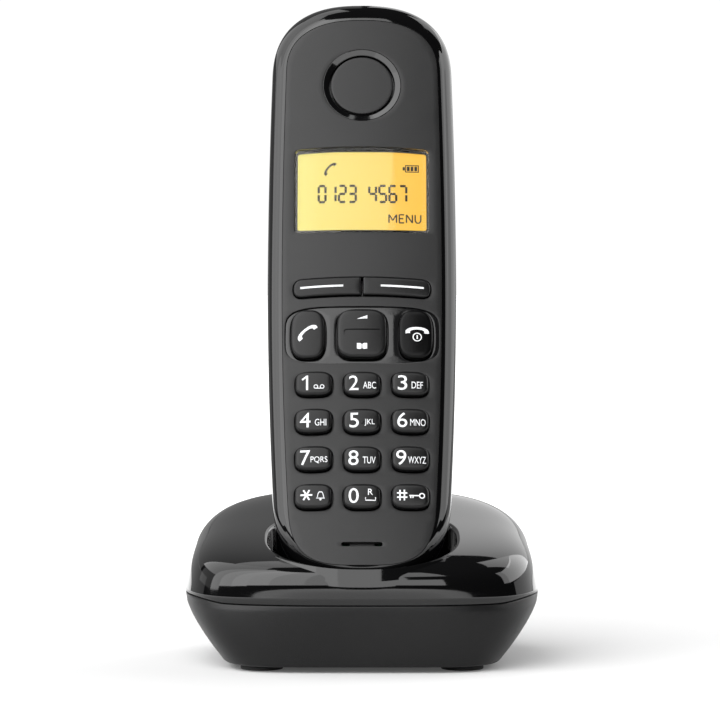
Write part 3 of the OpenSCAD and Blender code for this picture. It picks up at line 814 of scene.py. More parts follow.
def soft_outline(side):
    """Outline of a soft key: square inner end, rounded outer end, long edges gently arched."""
    straight = SOFT_OUTER - SOFT_HALF
    inner = SOFT_INNER + SOFT_CORNER
    corner_y = SOFT_HALF - SOFT_CORNER
    points = arc(inner, -corner_y, SOFT_CORNER, [math.pi * (1 + 0.5 * k / 8) for k in range(9)])
    points += [(inner + (straight - inner) * k / 16, -SOFT_HALF) for k in range(1, 17)]
    for k in range(1, 33):
        a = math.pi * (-0.5 + k / 32)
        points.append((straight + SOFT_HALF * spow(math.cos(a), SOFT_END),
                       SOFT_HALF * spow(math.sin(a), SOFT_END)))
    points += [(straight - (straight - inner) * k / 16, SOFT_HALF) for k in range(1, 17)]
    points += arc(inner, corner_y, SOFT_CORNER, [math.pi * (0.5 + 0.5 * k / 8) for k in range(1, 9)])
    arched = [(x, y - SOFT_ARCH * x * x + SOFT_S) for x, y in even(points, 120)]
    return arched if side > 0 else [(-x, y) for x, y in reversed(arched)]


def window_outline(half, corner, grow=0.0):
    """Outline of the display window: the top edge gently arched, the corners small arcs."""
    half_x = half[0] + grow
    half_y = half[1] + grow
    box = even(rounded_box_outline(-half_x, -half_y, half_x, half_y, corner + grow), 240)
    return [(x, y + WINDOW_S + (WINDOW_ARCH * (half_x ** 2 - x * x) if y > 0 else 0)) for x, y in box]


def function_key_outline(half, square, x, grow=0.0):
    """Outline of one of the three keys in the plate."""
    return shifted(superellipse(half[0] + grow, half[1] + grow, square, 96), x, FUNCTION_S)


def plate_outline(grow):
    """Outline of the plate round the function keys."""
    return superellipse(PLATE_HALF[0] + grow, PLATE_HALF[1] + grow, PLATE_SQUARE, 200, 0, FUNCTION_S)


def shifted(points, x, y):
    return [(a + x, b + y) for a, b in points]


def mic_slot():
    right = arc(MIC_HALF, MIC_S, MIC_RADIUS, [math.pi * (-0.5 + k / 12) for k in range(13)])
    return right + [(-x, 2 * MIC_S - y) for x, y in right]


def finer(shape, longest=0.45):
    """The same shape with its long edges divided, so that it can follow a curved surface."""
    work = bmesh.new()
    for v in shape[0]:
        work.verts.new(v)
    work.verts.ensure_lookup_table()
    for f in shape[1]:
        work.faces.new([work.verts[i] for i in f])
    bmesh.ops.triangulate(work, faces=work.faces)
    for _ in range(5):
        long_edges = [e for e in work.edges if e.calc_length() > longest]
        if not long_edges:
            break
        bmesh.ops.subdivide_edges(work, edges=long_edges, cuts=1)
        bmesh.ops.triangulate(work, faces=work.faces)
    work.verts.index_update()
    result = [tuple(v.co) for v in work.verts], [tuple(v.index for v in f.verts) for f in work.faces]
    work.free()
    return result


def soft_hole():
    """The two soft keys share one long opening in the face."""
    right = [p for p in inset(soft_outline(1), -KEY_GAP) if p[0] > 0.6]
    start = min(range(len(right)), key=lambda i: right[i][1] + right[i][0] * 0.2)
    right = right[start:] + right[:start]
    return right + [(-x, y) for x, y in reversed(right)]


def build_face():
    """The face panel and the plate round the function keys, with an opening for everything in them."""
    holes = [window_outline(WINDOW_HALF, WINDOW_CORNER, 0.06),
             circle(0, EAR_S, EAR_RADIUS + 0.04, 160), plate_outline(0.08), mic_slot(), soft_hole()]
    for _, column, row, *_ in DIGITS:
        outline = superellipse(*DIGIT_HALF, DIGIT_SQUARE, 80, *digit_place(column, row))
        holes.append(inset(outline, -KEY_GAP))
    face = plate([panel_outline(PANEL_CLEAR)] + holes, -PANEL_THICK, 0, edge=0.14)
    on_handset("satin_face", finer(face, 2.2), "face_panel", SATIN, 18)
    holes = [function_key_outline(SIDE_KEY_HALF, SIDE_KEY_SQUARE, side * SIDE_KEY_X, KEY_GAP)
             for side in (-1, 1)]
    holes.append(function_key_outline(NAV_HALF, NAV_SQUARE, 0, NAV_GAP))
    around = plate([plate_outline(0)] + holes, PLATE_BOTTOM, PLATE_TOP, edge=0.12)
    on_handset("function_plate", finer(around, 2), "function_key_plate", PLATE_GLOSS, 18)


build_face()

# ---------------------------------------- keys

KEY_BOTTOM = -4.2
FLANGE_TOP = -2.7
FLANGE_EDGE = 0.5
KEY_PROUD = 1.8
CROWN_REACH = 1.6


def middle_and_half(outline):
    """Middle of an outline and half its size, both ways."""
    xs = [p[0] for p in outline]
    ys = [p[1] for p in outline]
    return ((max(xs) + min(xs)) / 2, (max(ys) + min(ys)) / 2,
            (max(xs) - min(xs)) / 2, (max(ys) - min(ys)) / 2)


def crown(outline, top, edge, drop):
    """Height of a key's top over a point: highest in the middle, lower by drop towards the edge."""
    cx, cy, rx, ry = middle_and_half(outline)

    def height(x, s):
        u = (x - cx) / (rx - edge)
        v = (s - cy) / (ry - edge)
        return top - drop * min(1.0, (u * u + v * v) / CROWN_REACH)

    return height


def key_shape(outline, flange, top, edge, drop):
    """Key with a flange under the face, a rounded upper edge and a slightly crowned top."""
    height = crown(outline, top, edge, drop)
    under = [(flange, KEY_BOTTOM), (flange, FLANGE_TOP), (outline, FLANGE_TOP)]
    rings = [at_height(ring, w) for ring, w in under]
    shoulder = top - drop - edge
    for k, a in enumerate(quarter(8)):
        blend = (k / 8) ** 2
        rise = edge * math.sin(a)
        rings.append([(x, s, (shoulder + rise) * (1 - blend) + (height(x, s) + rise - edge) * blend)
                      for x, s in inset(outline, edge * (1 - math.cos(a)))])
    last = inset(outline, edge)
    cx, cy = middle_and_half(last)[:2]
    for t in (0.85, 0.68, 0.5, 0.32, 0.15, 0.02):
        ring = [(cx + (x - cx) * t, cy + (s - cy) * t) for x, s in last]
        rings.append([(x, s, height(x, s)) for x, s in ring])
    return solid(rings)


def laid_on(shape, height):
    """A shape moved up by the height of the surface under it."""
    vertices, faces = shape
    return [(x, s, height(x, s) + w) for x, s, w in vertices], faces


def legend(name, shapes, body, height):
    """Print on a key: flat shapes laid on the key's top."""
    shape = laid_on(finer(joined(*shapes)), lambda x, s: height(x, s) + PRINT_HALF)
    printed(name, shape, body, WHITE_INK_PAINTED_GLOW)


def stroke(line, width):
    """Flat stroke of even width."""
    return flat(ribbon(line, width))


RECEIVER = [
    (-1, -0.27), (-1, -0.05), (-0.88, 0.1), (-0.66, 0.22), (-0.36, 0.29), (0, 0.31), (0.36, 0.29),
    (0.66, 0.22), (0.88, 0.1), (1, -0.05), (1, -0.27), (0.62, -0.25), (0.6, -0.06), (0.42, 0.04),
    (0.2, 0.075), (0, 0.085), (-0.2, 0.075), (-0.42, 0.04), (-0.6, -0.06), (-0.62, -0.25),
]


def receiver_icon(x, y, size, turn):
    """Telephone receiver seen from the side: a bowed grip with its two ends turned down."""
    half = size / 2
    c = math.cos(math.radians(turn))
    s = math.sin(math.radians(turn))
    outline = [(x + half * (px * c - py * s), y + half * (px * s + py * c)) for px, py in RECEIVER]
    return flat(outline[::-1])


def one_shape(x, s):
    """Digit 1: an upright stem with a slanting flag."""
    half = DIGIT_HEIGHT / 2
    outline = [(0.28, -half), (0.78, -half), (0.78, half), (0.4, half), (-0.82, half - 0.95),
               (-0.6, half - 1.3), (0.28, half - 0.66)]
    return flat(shifted(outline, x, s))


def hoop(x, y, outer, inner, count):
    """Flat ring."""
    return flat(circle(x, y, outer, count), circle(x, y, inner, count))


def tape_symbol(x, s):
    """Two reels of a tape, for messages."""
    reels = [hoop(x + dx, s - 1.05, 0.55, 0.36, 28) for dx in (0.5, 2.05)]
    return reels + [stroke([(x + 0.5, s - 1.47), (x + 2.05, s - 1.47)], 0.2)]


def bell_symbol(x, s):
    cx, cy = x + 1.75, s + 0.05
    half_bell = [(0.28, 0.66), (0.5, 0.25), (0.58, -0.3), (0.8, -0.62)]
    bell = [(-a, b) for a, b in half_bell[::-1]] + half_bell
    outline = [(cx + a * 1.4, cy + b * 1.4) for a, b in bell]
    inner = [(cx + a * 1.08, cy - 0.02 + b * 1.08) for a, b in bell]
    return [flat(outline, inner), flat(circle(cx, cy - 1.1, 0.26, 20))]


def recall_symbol(x, s):
    """Letter R over a small tray."""
    tray = [(x + 0.85, s - 0.45), (x + 0.85, s - 1.2), (x + 3.3, s - 1.2), (x + 3.3, s - 0.45)]
    return [lettering("R", x + 2.05, s + 0.95, 1.2, 1.6), stroke(tray, 0.24)]


def lock_symbol(x, s):
    """A small door key, lying on its side."""
    cy = s - 0.05
    shank = stroke([(x - 0.35, cy), (x + 2.05, cy)], 0.3)
    bits = [stroke([(x + dx, cy), (x + dx, cy - 0.62)], 0.3) for dx in (0.0, 0.55)]
    return [hoop(x + 2.75, cy, 0.75, 0.45, 32), shank] + bits


SYMBOLS = {
    "key_1": tape_symbol, "key_star": bell_symbol, "key_0": recall_symbol, "key_hash": lock_symbol,
}


def star_shape(x, s, radius):
    """Six-armed star."""
    arms = []
    for k in range(3):
        a = math.radians(60 * k)
        dx, dy = radius * math.cos(a), radius * math.sin(a)
        arms.append(stroke([(x - dx, s - dy), (x + dx, s + dy)], 0.42))
    return joined(*arms)


def hash_shape(x, s, size):
    bars = []
    for off in (-size * 0.2, size * 0.2):
        bars.append(stroke([(x + off, s - size / 2), (x + off, s + size / 2)], 0.36))
        bars.append(stroke([(x - size * 0.47, s + off), (x + size * 0.47, s + off)], 0.36))
    return joined(*bars)


def digit_shape(text, x, s, width):
    if text == "*":
        return star_shape(x, s + 0.1, 1.45)
    if text == "#":
        return hash_shape(x, s + 0.05, 2.7)
    if text == "1":
        return one_shape(x, s)
    return lettering(text, x, s, width, DIGIT_HEIGHT)


DIGIT_HEIGHT = 3.8
LETTER_HEIGHT = 1.75
DIGIT_EDGE = 0.8
DIGIT_CROWN = 0.22
DOT_PROFILE = [(0.42, -0.1), (0.42, 0.02), (0.36, 0.12), (0.24, 0.2), (0.08, 0.24)]


def build_digit_keys():
    for name, column, row, text, width, shift in DIGITS:
        x, s = digit_place(column, row)
        outline = superellipse(*DIGIT_HALF, DIGIT_SQUARE, 96, x, s)
        top = (KEY_PROUD, DIGIT_EDGE, DIGIT_CROWN)
        key_cap(name, key_shape(outline, inset(outline, -FLANGE_EDGE), *top), KEY_SATIN)
        height = crown(outline, *top)
        shapes = [digit_shape(text, x + shift, s, width)]
        if name in LETTERS:
            word, word_width, word_shift = LETTERS[name]
            shapes.append(lettering(word, x + word_shift, s - 0.62, word_width, LETTER_HEIGHT))
        if name in SYMBOLS:
            shapes += SYMBOLS[name](x, s)
        legend(name + "_legend", shapes, name, height)
        if name == "key_5":
            dot = laid_on(lathe(DOT_PROFILE, 24, x + 0.1, s - 0.55), height)
            piece("key_5_dot", dot, handset_point, name, [], KEY_SATIN, sharp=60)


build_digit_keys()

SIDE_PROUD = KEY_PROUD - 0.3
SIDE_EDGE = 0.8
NAV_EDGE = 0.9
FUNCTION_CROWN = 0.25


def build_function_keys():
    top = (SIDE_PROUD, SIDE_EDGE, FUNCTION_CROWN)
    bar = stroke([(SIDE_KEY_X + 0.3, FUNCTION_S - 1.5), (SIDE_KEY_X + 0.3, FUNCTION_S - 0.5)], 0.3)
    symbols = {
        "talk_key": [receiver_icon(-SIDE_KEY_X - 0.35, FUNCTION_S + 0.35, 5.8, 39)],
        "end_key": [receiver_icon(SIDE_KEY_X + 0.3, FUNCTION_S + 0.75, 5.8, 0),
                    hoop(SIDE_KEY_X + 0.3, FUNCTION_S - 1.0, 1.15, 0.9, 40), bar],
    }
    # The end key takes the darker copy of the key plastic: painted shade
    for name, side, material in (("talk_key", -1, KEY_SATIN), ("end_key", 1, END_KEY_PAINTED_SHADE)):
        outline = function_key_outline(SIDE_KEY_HALF, SIDE_KEY_SQUARE, side * SIDE_KEY_X)
        key_cap(name, key_shape(outline, inset(outline, -FLANGE_EDGE), *top), material)
        legend(name + "_legend", symbols[name], name, crown(outline, *top))

    top = (KEY_PROUD, NAV_EDGE, FUNCTION_CROWN)
    outline = function_key_outline(NAV_HALF, NAV_SQUARE, 0)
    rocker = key_cap("nav_key", key_shape(outline, inset(outline, -FLANGE_EDGE), *top), KEY_SATIN)
    fold = shifted([(-4.4, -0.6), (-4.4, 0.4), (-4.0, 0.8), (4.4, 0.8)], 0, FUNCTION_S)
    groove = prism(ribbon(fold, 0.3), KEY_PROUD - 0.5, KEY_PROUD + 1)
    cut(rocker, [(groove, handset_point)], sharp=50)
    shapes = [flat(shifted([(-1.3, 3.55), (1.3, 3.7), (1.3, 4.55)], 0, FUNCTION_S))]
    page = [(0.1, -4.2), (0.48, -4.4), (1.26, -4.3), (1.26, -2.85), (0.48, -2.85), (0.1, -3.1)]
    shapes.append(flat(shifted([(-x, s) for x, s in page[::-1]], 0, FUNCTION_S)))
    shapes.append(flat(shifted(page, 0, FUNCTION_S)))
    legend("nav_key_legend", shapes, "nav_key", crown(outline, *top))


build_function_keys()

SOFT_TOP = 0.9
SOFT_EDGE = 0.5
SOFT_CROWN = 0.12
SOFT_LINE_START = 4.7
SOFT_LINE_LENGTH = 10.7


def build_soft_keys():
    top = (SOFT_TOP, SOFT_EDGE, SOFT_CROWN)
    for name, side in (("soft_key_left", -1), ("soft_key_right", 1)):
        outline = soft_outline(side)
        flange = [(side * max(side * x, SOFT_INNER - 0.1), s) for x, s in inset(outline, -FLANGE_EDGE)]
        key_cap(name, key_shape(outline, flange, *top), KEY_SATIN)
        along = [SOFT_LINE_START + SOFT_LINE_LENGTH * k / 12 for k in range(13)]
        line = [(side * x, SOFT_S - SOFT_ARCH * x ** 2) for x in along]
        legend(name + "_line", [stroke(line, 0.5)], name, crown(outline, *top))


build_soft_keys()

# ---------------------------------------- earpiece and display

def build_earpiece():
    """Ring let into the face and the disc inside it."""
    flange = EAR_RADIUS + 1.2
    profile = [(EAR_RADIUS - 0.1, 0.0), (EAR_RADIUS - 0.02, -0.03), (EAR_RADIUS, -0.12),
               (EAR_RADIUS, UNDER_PANEL), (flange, UNDER_PANEL), (flange, -2.4),
               (8.4, -2.4), (8.4, -0.5)]
    profile += [(8.45 + 1.35 * t, -0.42 + 0.4 * t) for t in [k / 10 for k in range(11)]]
    ring = loft([at_height(circle(0, EAR_S, r, 160), w) for r, w in profile], loop=True)
    on_handset("earpiece_ring_trim", ring, "earpiece_ring", BLACK)
    cap = [(10.6, -3.2), (10.6, -2.45), (6.2, -2.45), (6.2, -1.6), (CAP_RADIUS - 0.15, -1.6),
           (CAP_RADIUS, -1.45)]
    cap += arc(CAP_RADIUS - 0.3, -0.5, 0.3, quarter(6))
    cap += [(CAP_RADIUS * t, -0.2) for t in (0.9, 0.6, 0.3, 0.02)]
    on_handset("earpiece_disc", lathe(cap, 160, 0, EAR_S), "earpiece_cap", SATIN)


build_earpiece()

DISPLAY_TOP = -1.95
GLASS_HALF = (16.6, 11.4)
GLASS_THICK = 1.05
LENS_TOP = -0.05
LENS_BOTTOM = -1.2
PIXEL_WIDE = 0.425
PIXEL_HIGH = 0.55
DIGITS_LEFT = -11.2
LABEL_X = 6.8
LABEL_S = WINDOW_S - 8.1
LABEL_HEIGHT = 2.2
LABEL_PEN = 0.36

# Segments of a plain dot-matrix digit, five columns by nine rows: first and last cell of each run
SEGMENTS = {
    "a": ((1, 8), (3, 8)), "g": ((1, 4), (3, 4)), "d": ((1, 0), (3, 0)), "f": ((0, 5), (0, 7)),
    "b": ((4, 5), (4, 7)), "e": ((0, 1), (0, 3)), "c": ((4, 1), (4, 3)),
}
# Segments lit for each digit, a to g as on any seven-segment display
LIT = dict(zip("01234567", ("abcdef", "bc", "abged", "abgcd", "fgbc", "afgcd", "afgedc", "abc")))


def pixels_of(text):
    """Lit cells of a line of dot-matrix digits, as (column, row)."""
    cells = []
    for place, character in enumerate(text):
        lit = set()
        for segment in LIT.get(character, ""):
            (c0, r0), (c1, r1) = SEGMENTS[segment]
            lit |= {(c, r) for c in range(c0, c1 + 1) for r in range(r0, r1 + 1)}
        cells += [(place * 6 + c, r) for c, r in sorted(lit)]
    return cells


# Letters of the display's label: left end, width, corners of the pen's path
DISPLAY_LETTERS = [
    (0, 1.9, [(0, 0), (0, 1), (0.5, 0.3), (1, 1), (1, 0)]),
    (2.6, 1.2, [(1, 0), (0, 0), (0, 1), (1, 1)]), (2.6, 1.1, [(0, 0.52), (0.9, 0.52)]),
    (4.4, 1.5, [(0, 0), (0, 1), (1, 0), (1, 1)]),
    (6.6, 1.4, [(0, 1), (0, 0.3), (0.2, 0.03), (0.5, -0.03), (0.8, 0.03), (1, 0.3), (1, 1)]),
]


def display_box(x0, s0, x1, s1, radius):
    return rounded_box_outline(x0, WINDOW_S + s0, x1, WINDOW_S + s1, radius, 2)


def build_display():
    half_x, half_s = GLASS_HALF
    outline = rounded_box_outline(-half_x, WINDOW_S - half_s, half_x, WINDOW_S + half_s, 0.2)
    glass = plate([outline], DISPLAY_TOP - GLASS_THICK, DISPLAY_TOP, edge=0.05)
    on_handset("display_glass", finer(glass, 3), "lcd_panel", LCD, 30)
    lens = plate([window_outline(WINDOW_HALF, WINDOW_CORNER)], LENS_BOTTOM, LENS_TOP, edge=0.12)
    on_handset("display_lens", finer(lens, 3), "display_window", CLEAR, 30)
    rims = [window_outline(WINDOW_HALF, WINDOW_CORNER, -0.1), window_outline(VIEW_HALF, VIEW_CORNER)]
    border = plate(rims, LENS_BOTTOM - 0.04, LENS_BOTTOM - 0.01)
    piece("display_mask", border, handset_point, "handset", [], PLATE_GLOSS, sharp=30)

    low = WINDOW_S - 0.3 - 4.5 * PIXEL_HIGH
    cells = []
    for column, row in pixels_of("0123 4567"):
        x = DIGITS_LEFT + column * PIXEL_WIDE
        s = low + row * PIXEL_HIGH
        cells.append(box_shape((x, s, DISPLAY_TOP - 0.01),
                               (x + PIXEL_WIDE * 1.35, s + PIXEL_HIGH * 1.12, DISPLAY_TOP + 0.03)))
    printed("display_digits", joined(*cells), "handset", DARK_PIXEL)

    icons = [receiver_icon(-8.2, WINDOW_S + 6.7, 4.3, 50),
             flat(display_box(10.9, 5.7, 14.4, 7.7, 0.1), display_box(11.15, 5.95, 14.15, 7.45, 0.05)),
             flat(display_box(10.3, 6.25, 10.85, 7.15, 0.05))]
    icons += [flat(display_box(x, 6.1, x + 0.72, 7.3, 0.05)) for x in (11.35, 12.3, 13.25)]
    for left, width, points in DISPLAY_LETTERS:
        corners = [(LABEL_X + left + width * a, LABEL_S + LABEL_HEIGHT * b) for a, b in points]
        icons += [stroke([p, q], LABEL_PEN) for p, q in zip(corners, corners[1:])]
    shape = laid_on(joined(*icons), lambda x, s: DISPLAY_TOP + 0.01)
    printed("display_icons", shape, "handset", DARK_PIXEL)


build_display()

# ---------------------------------------- base shells

# Height of the parting line in the middle, and how much higher it is at the sides, between two x
PARTING_Z = 16.8
PARTING_RISE = 1.1
RISE_FROM = 33
RISE_TO = 43
# The dome: its widest line, its rise in the middle, the slope of its crown, how much it draws in
WIDEST_Z = PARTING_Z + 1.5
DOME_RISE = 17.5
DOME_SLOPE = 0.22
DOME_SQUARE = 4.57
DOME_DRAFT = 0.058
SECTION_HALF = 40
BASE_SQUARE = 3.15
BASE_WALL = 1.8
DOME_WALL = 1.5
SHELL_GAP = 0.2
FOOT_HEIGHT = 1.4
FLOOR_Z = FOOT_HEIGHT + BASE_WALL
FOOT_RADIUS = 5.25
FOOT_PLACES = [(-24.6, -24), (24.6, -24), (-24.6, 24), (24.6, 24)]
POST_HOLE = 2.4
POST_PLACES = [(-30.8, -14), (30.8, -14), (-30.8, 14), (30.8, 14)]
EDGE_DROP = 0.5
EDGE_RUN = 0.5
TAPER = 0.2335
TAPER_TOP = 17
TAPER_POWER = 1.365
FRONT_TAPER = 0.28
UNDERSIDE_SQUARE = 5
POCKET_HALF = 23.4
POCKET_FRONT = 1
POCKET_BACK = 2
POCKET_SQUARE = 2.6
POCKET_FLOOR = 0.8
PIN_BORE = 1.2
LIP = 0.9
BASE_COUNT = 288
PAGE_RADIUS = 3.2

page_low, page_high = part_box("page_button")
PAGE_Z = (page_low.z + page_high.z) / 2 / MM
PAGE_INNER = page_low.y / MM
PAGE_OUTER = page_high.y / MM


def rise_at(x):
    """How much higher the parting line is at x than in the middle."""
    t = min(max((abs(x) - RISE_FROM) / (RISE_TO - RISE_FROM), 0), 1)
    return PARTING_RISE * t * t * (3 - 2 * t)


def dome_surface(direction, section):
    """Point of the dome inwards from a point of the widest outline, at a section angle."""
    g = max(math.cos(section), 0.0) ** (2 / DOME_SQUARE)
    e = max(math.sin(section), 0.0) ** (2 / DOME_SQUARE)
    x, y = direction[0] * g, direction[1] * g
    return x * (1 - DOME_DRAFT * e), y, WIDEST_Z + (DOME_RISE + DOME_SLOPE * y) * e


def outline_part(x, y):
    """How far out a plan place is: 1 on the widest outline, 0 in the middle."""
    return (abs(x / HALF_X) ** BASE_SQUARE + abs(y / HALF_Y) ** BASE_SQUARE) ** (1 / BASE_SQUARE)


def rise_part(y, z):
    """How far up the dome a point is: 0 at its widest line, 1 at its crown."""
    return (z - WIDEST_Z) / (DOME_RISE + DOME_SLOPE * y)


def dome_above(x, y, z):
    """Above zero outside the dome, below zero inside it."""
    e = max(min(rise_part(y, z), 1.5), 0.0)
    return outline_part(x / (1 - DOME_DRAFT * e), y) ** DOME_SQUARE + e ** DOME_SQUARE - 1


def base_from_handset(x, s, w):
    """Handset axes to the base's axes, in millimetres."""
    p = straight_point(x, s, w)
    return p.x / MM, (p.y - BASE_CENTRE_Y) / MM, p.z / MM


def pocket_outline(count, grow):
    """Section of the pocket across the handset, as (x, w)."""
    depth = (HANDSET_DEPTH + POCKET_FRONT + POCKET_BACK) / 2 + grow
    middle = POCKET_FRONT + grow - depth
    return superellipse(POCKET_HALF + grow, depth, POCKET_SQUARE, count, 0, middle)


def pocket_floor_at(x):
    """Lowest s of the pocket over x: the floor follows the rounded lower end of the handset."""
    t = min(abs(x) / (POCKET_HALF + 1.1), 1.0)
    return LOW_END - (LOW_END + POCKET_FLOOR) * (1 - t ** POCKET_SQUARE) ** (1 / POCKET_SQUARE)


def rim_height(x, w):
    """Distance s at which a line up the handset leaves the dome."""
    low, high = 0.0, 60.0
    for _ in range(40):
        middle = (low + high) / 2
        if dome_above(*base_from_handset(x, middle, w)) > 0:
            high = middle
        else:
            low = middle
    return (low + high) / 2


def profile_table(steps=2400):
    """Distances along the dome's section, from the widest line (0) up (1), and their angles."""
    lengths = [0.0]
    angles = [0.0]
    last = (SECTION_HALF, 0)
    for i in range(1, steps + 1):
        a = math.pi / 2 * i / steps
        here = (SECTION_HALF * max(math.cos(a), 0.0) ** (2 / DOME_SQUARE),
                DOME_RISE * math.sin(a) ** (2 / DOME_SQUARE))
        lengths.append(lengths[-1] + math.dist(here, last))
        angles.append(a)
        last = here
    return [d / lengths[-1] for d in lengths], angles


DISTANCES, ANGLES = profile_table()


def read_off(known, wanted, value):
    """Value of one rising list where another has the given value."""
    high = min(max(bisect_left(known, value), 1), len(known) - 1)
    low = high - 1
    t = (value - known[low]) / max(known[high] - known[low], 1e-12)
    return wanted[low] + (wanted[high] - wanted[low]) * t


def disc_of(x, y, z):
    """Place on a flat map of the dome: radius 1 at the widest line, 0 at the crown."""
    e = min(max(rise_part(y, z), 0.0), 1.0)
    plan_x = x / (1 - DOME_DRAFT * e)
    section = math.atan2(e ** (DOME_SQUARE / 2), outline_part(plan_x, y) ** (DOME_SQUARE / 2))
    radius = 1 - read_off(ANGLES, DISTANCES, section)
    angle = math.atan2(y, plan_x)
    return radius * math.cos(angle), radius * math.sin(angle)


def dome_from_disc(u, v):
    """Point of the dome for a place on its flat map."""
    angle = math.atan2(v, u)
    c, s = math.cos(angle), math.sin(angle)
    r = 1 / outline_part(c, s)
    section = read_off(DISTANCES, ANGLES, max(0.0, min(1.0, 1 - math.hypot(u, v))))
    return dome_surface((r * c, r * s), section)


def spread_round(rim):
    """Directions that go once round the outline in step with the rim, evened out a little."""
    angles = []
    for u, v in rim:
        a = math.atan2(v, u)
        if angles:
            a -= 2 * math.pi * round((a - angles[-1]) / (2 * math.pi))
        angles.append(a)
    turn = math.copysign(2 * math.pi, angles[-1] - angles[0])
    evened = [0.5 * a + 0.5 * (angles[0] + turn * i / len(rim)) for i, a in enumerate(angles)]
    return [(math.cos(a), math.sin(a)) for a in evened]


def dome_sheet(rows=64):
    """Rings of the dome's outer surface, from the widest line in to a lip's width off the pocket."""
    outline = pocket_outline(BASE_COUNT, LIP)
    rim = [disc_of(*base_from_handset(x, rim_height(x, w), w)) for x, w in outline]
    pairs = list(zip(rim, spread_round(rim)))
    rings = []
    for j in range(rows + 1):
        t = j / rows
        rings.append([dome_from_disc(a + (u - a) * t, b + (v - b) * t) for (u, v), (a, b) in pairs])
    return outline, rings


def lip_rings(outline, rim, steps=7):
    """Rounded edge from the dome over into the pocket."""
    rings = []
    corner = [(x, rim_height(x, w), w) for x, w in inset(outline, LIP)]
    for k in range(1, steps + 1):
        t = k / steps
        ring = []
        for start, (x, s, w) in zip(rim, corner):
            top = base_from_handset(x, s, w)
            low = base_from_handset(x, s - LIP, w)
            ring.append(tuple((1 - t) ** 2 * a + 2 * t * (1 - t) * b + t * t * c
                              for a, b, c in zip(start, top, low)))
        rings.append(ring)
    return rings, corner


def pocket_rings(corner, steps=10):
    """Walls of the pocket, from under the lip down to its floor."""
    rings = []
    for k in range(1, steps + 1):
        t = k / steps
        rings.append([base_from_handset(x, s - LIP + (pocket_floor_at(x) - s + LIP) * t, w)
                      for x, s, w in corner])
    return rings


def pocket_floor(corner, first, start, steps=16):
    """Floor of the pocket: new vertices, numbered from start, and lines of vertex numbers across it,
    between the two halves of its outline, whose first vertex is number first."""
    half = len(corner) // 2
    vertices = []
    rows = [[first]]
    for i in range(1, half):
        x, _, w0 = corner[i]
        w1 = corner[-i][2]
        row = [first + i]
        for k in range(1, steps):
            row.append(start + len(vertices))
            vertices.append(base_from_handset(x, pocket_floor_at(x), w0 + (w1 - w0) * k / steps))
        rows.append(row + [first + len(corner) - i])
    return vertices, rows + [[first + half]]


def base_upper():
    """The whole upper shell as one sheet: skirt, dome, lip, pocket walls and floor."""
    outline, rings = dome_sheet()
    edge = 0.18
    skirt = []
    for d, z in ((0.9, 0.02), (edge + 0.1, 0), (0.1 + edge * 0.3, edge * 0.3), (0.1, edge)):
        skirt.append([(x * (1 - d / HALF_X), y * (1 - d / HALF_Y), PARTING_Z + z + rise_at(x))
                      for x, y, _ in rings[0]])
    lips, corner = lip_rings(outline, rings[-1])
    vertices, faces = loft(skirt + rings + lips + pocket_rings(corner))
    floor_vertices, rows = pocket_floor(corner, len(vertices) - len(outline), len(vertices))
    for a, b in zip(rows, rows[1:]):
        for k in range(max(len(a), len(b)) - 1):
            corners = [row[min(i, len(row) - 1)] for row, i in ((a, k), (b, k), (b, k + 1), (a, k + 1))]
            faces.append(tuple(dict.fromkeys(corners)))
    return vertices + floor_vertices, faces


def taper(z):
    """How far the side of the lower shell has come in at height z."""
    return TAPER * max(TAPER_TOP - z, 0) ** TAPER_POWER


def parting_ring(d, z):
    outline = superellipse(HALF_X - d, HALF_Y - d, BASE_SQUARE, BASE_COUNT)
    return [(x, y, z + rise_at(x)) for x, y in outline]


def lower_ring(d, z):
    """Ring of the lower shell, d in from its wall: the plan gets squarer towards the underside."""
    square = BASE_SQUARE + (UNDERSIDE_SQUARE - BASE_SQUARE) * min((PARTING_Z - z) / PARTING_Z, 1)
    half_x = HALF_X - d - taper(z)
    half_y = HALF_Y - d - FRONT_TAPER * taper(z)
    return at_height(superellipse(half_x, half_y, square, BASE_COUNT), z)


def base_lower():
    """The lower shell as a solid: up the inside from its floor, over the top edge, down the wall,
    round the bottom edge and across the underside."""
    top = PARTING_Z - SHELL_GAP
    wall_top = 15.4
    inside = [lower_ring(BASE_WALL + t, FLOOR_Z) for t in (22, 12, 5, 1)]
    inside += [lower_ring(BASE_WALL, z) for z in (FLOOR_Z, 5, 7, 9, 12, wall_top)]
    inside.append(parting_ring(BASE_WALL + 0.1, top))
    edge = [parting_ring(0.35, top), parting_ring(0.17, top - 0.07), parting_ring(0.1, top - 0.25)]
    ends = list(zip(edge[-1], lower_ring(0, wall_top)))
    wall = [[tuple(a + (b - a) * t for a, b in zip(p, q)) for p, q in ends] for t in (0.25, 0.5, 0.75)]
    edge_z = FOOT_HEIGHT + EDGE_DROP
    wall += [lower_ring(0, wall_top + (edge_z - wall_top) * k / 26) for k in range(27)]
    for k in range(1, 9):
        b = math.pi / 2 * k / 8
        wall.append(lower_ring(EDGE_RUN * (1 - math.cos(b)), edge_z - EDGE_DROP * math.sin(b)))
    wall += [lower_ring(EDGE_RUN + t, FOOT_HEIGHT) for t in (1.5, 5, 12, 22)]
    return solid(inside + edge + wall)


def solidify(obj, thickness, sharp):
    """Gives a sheet its wall, on the inner side."""
    modifier = obj.modifiers.new("wall", "SOLIDIFY")
    modifier.thickness = thickness
    modifier.offset = -1
    apply_modifier(obj, modifier)
    smooth(obj.data, sharp)


def millimetres(corner):
    return [v / MM for v in corner]


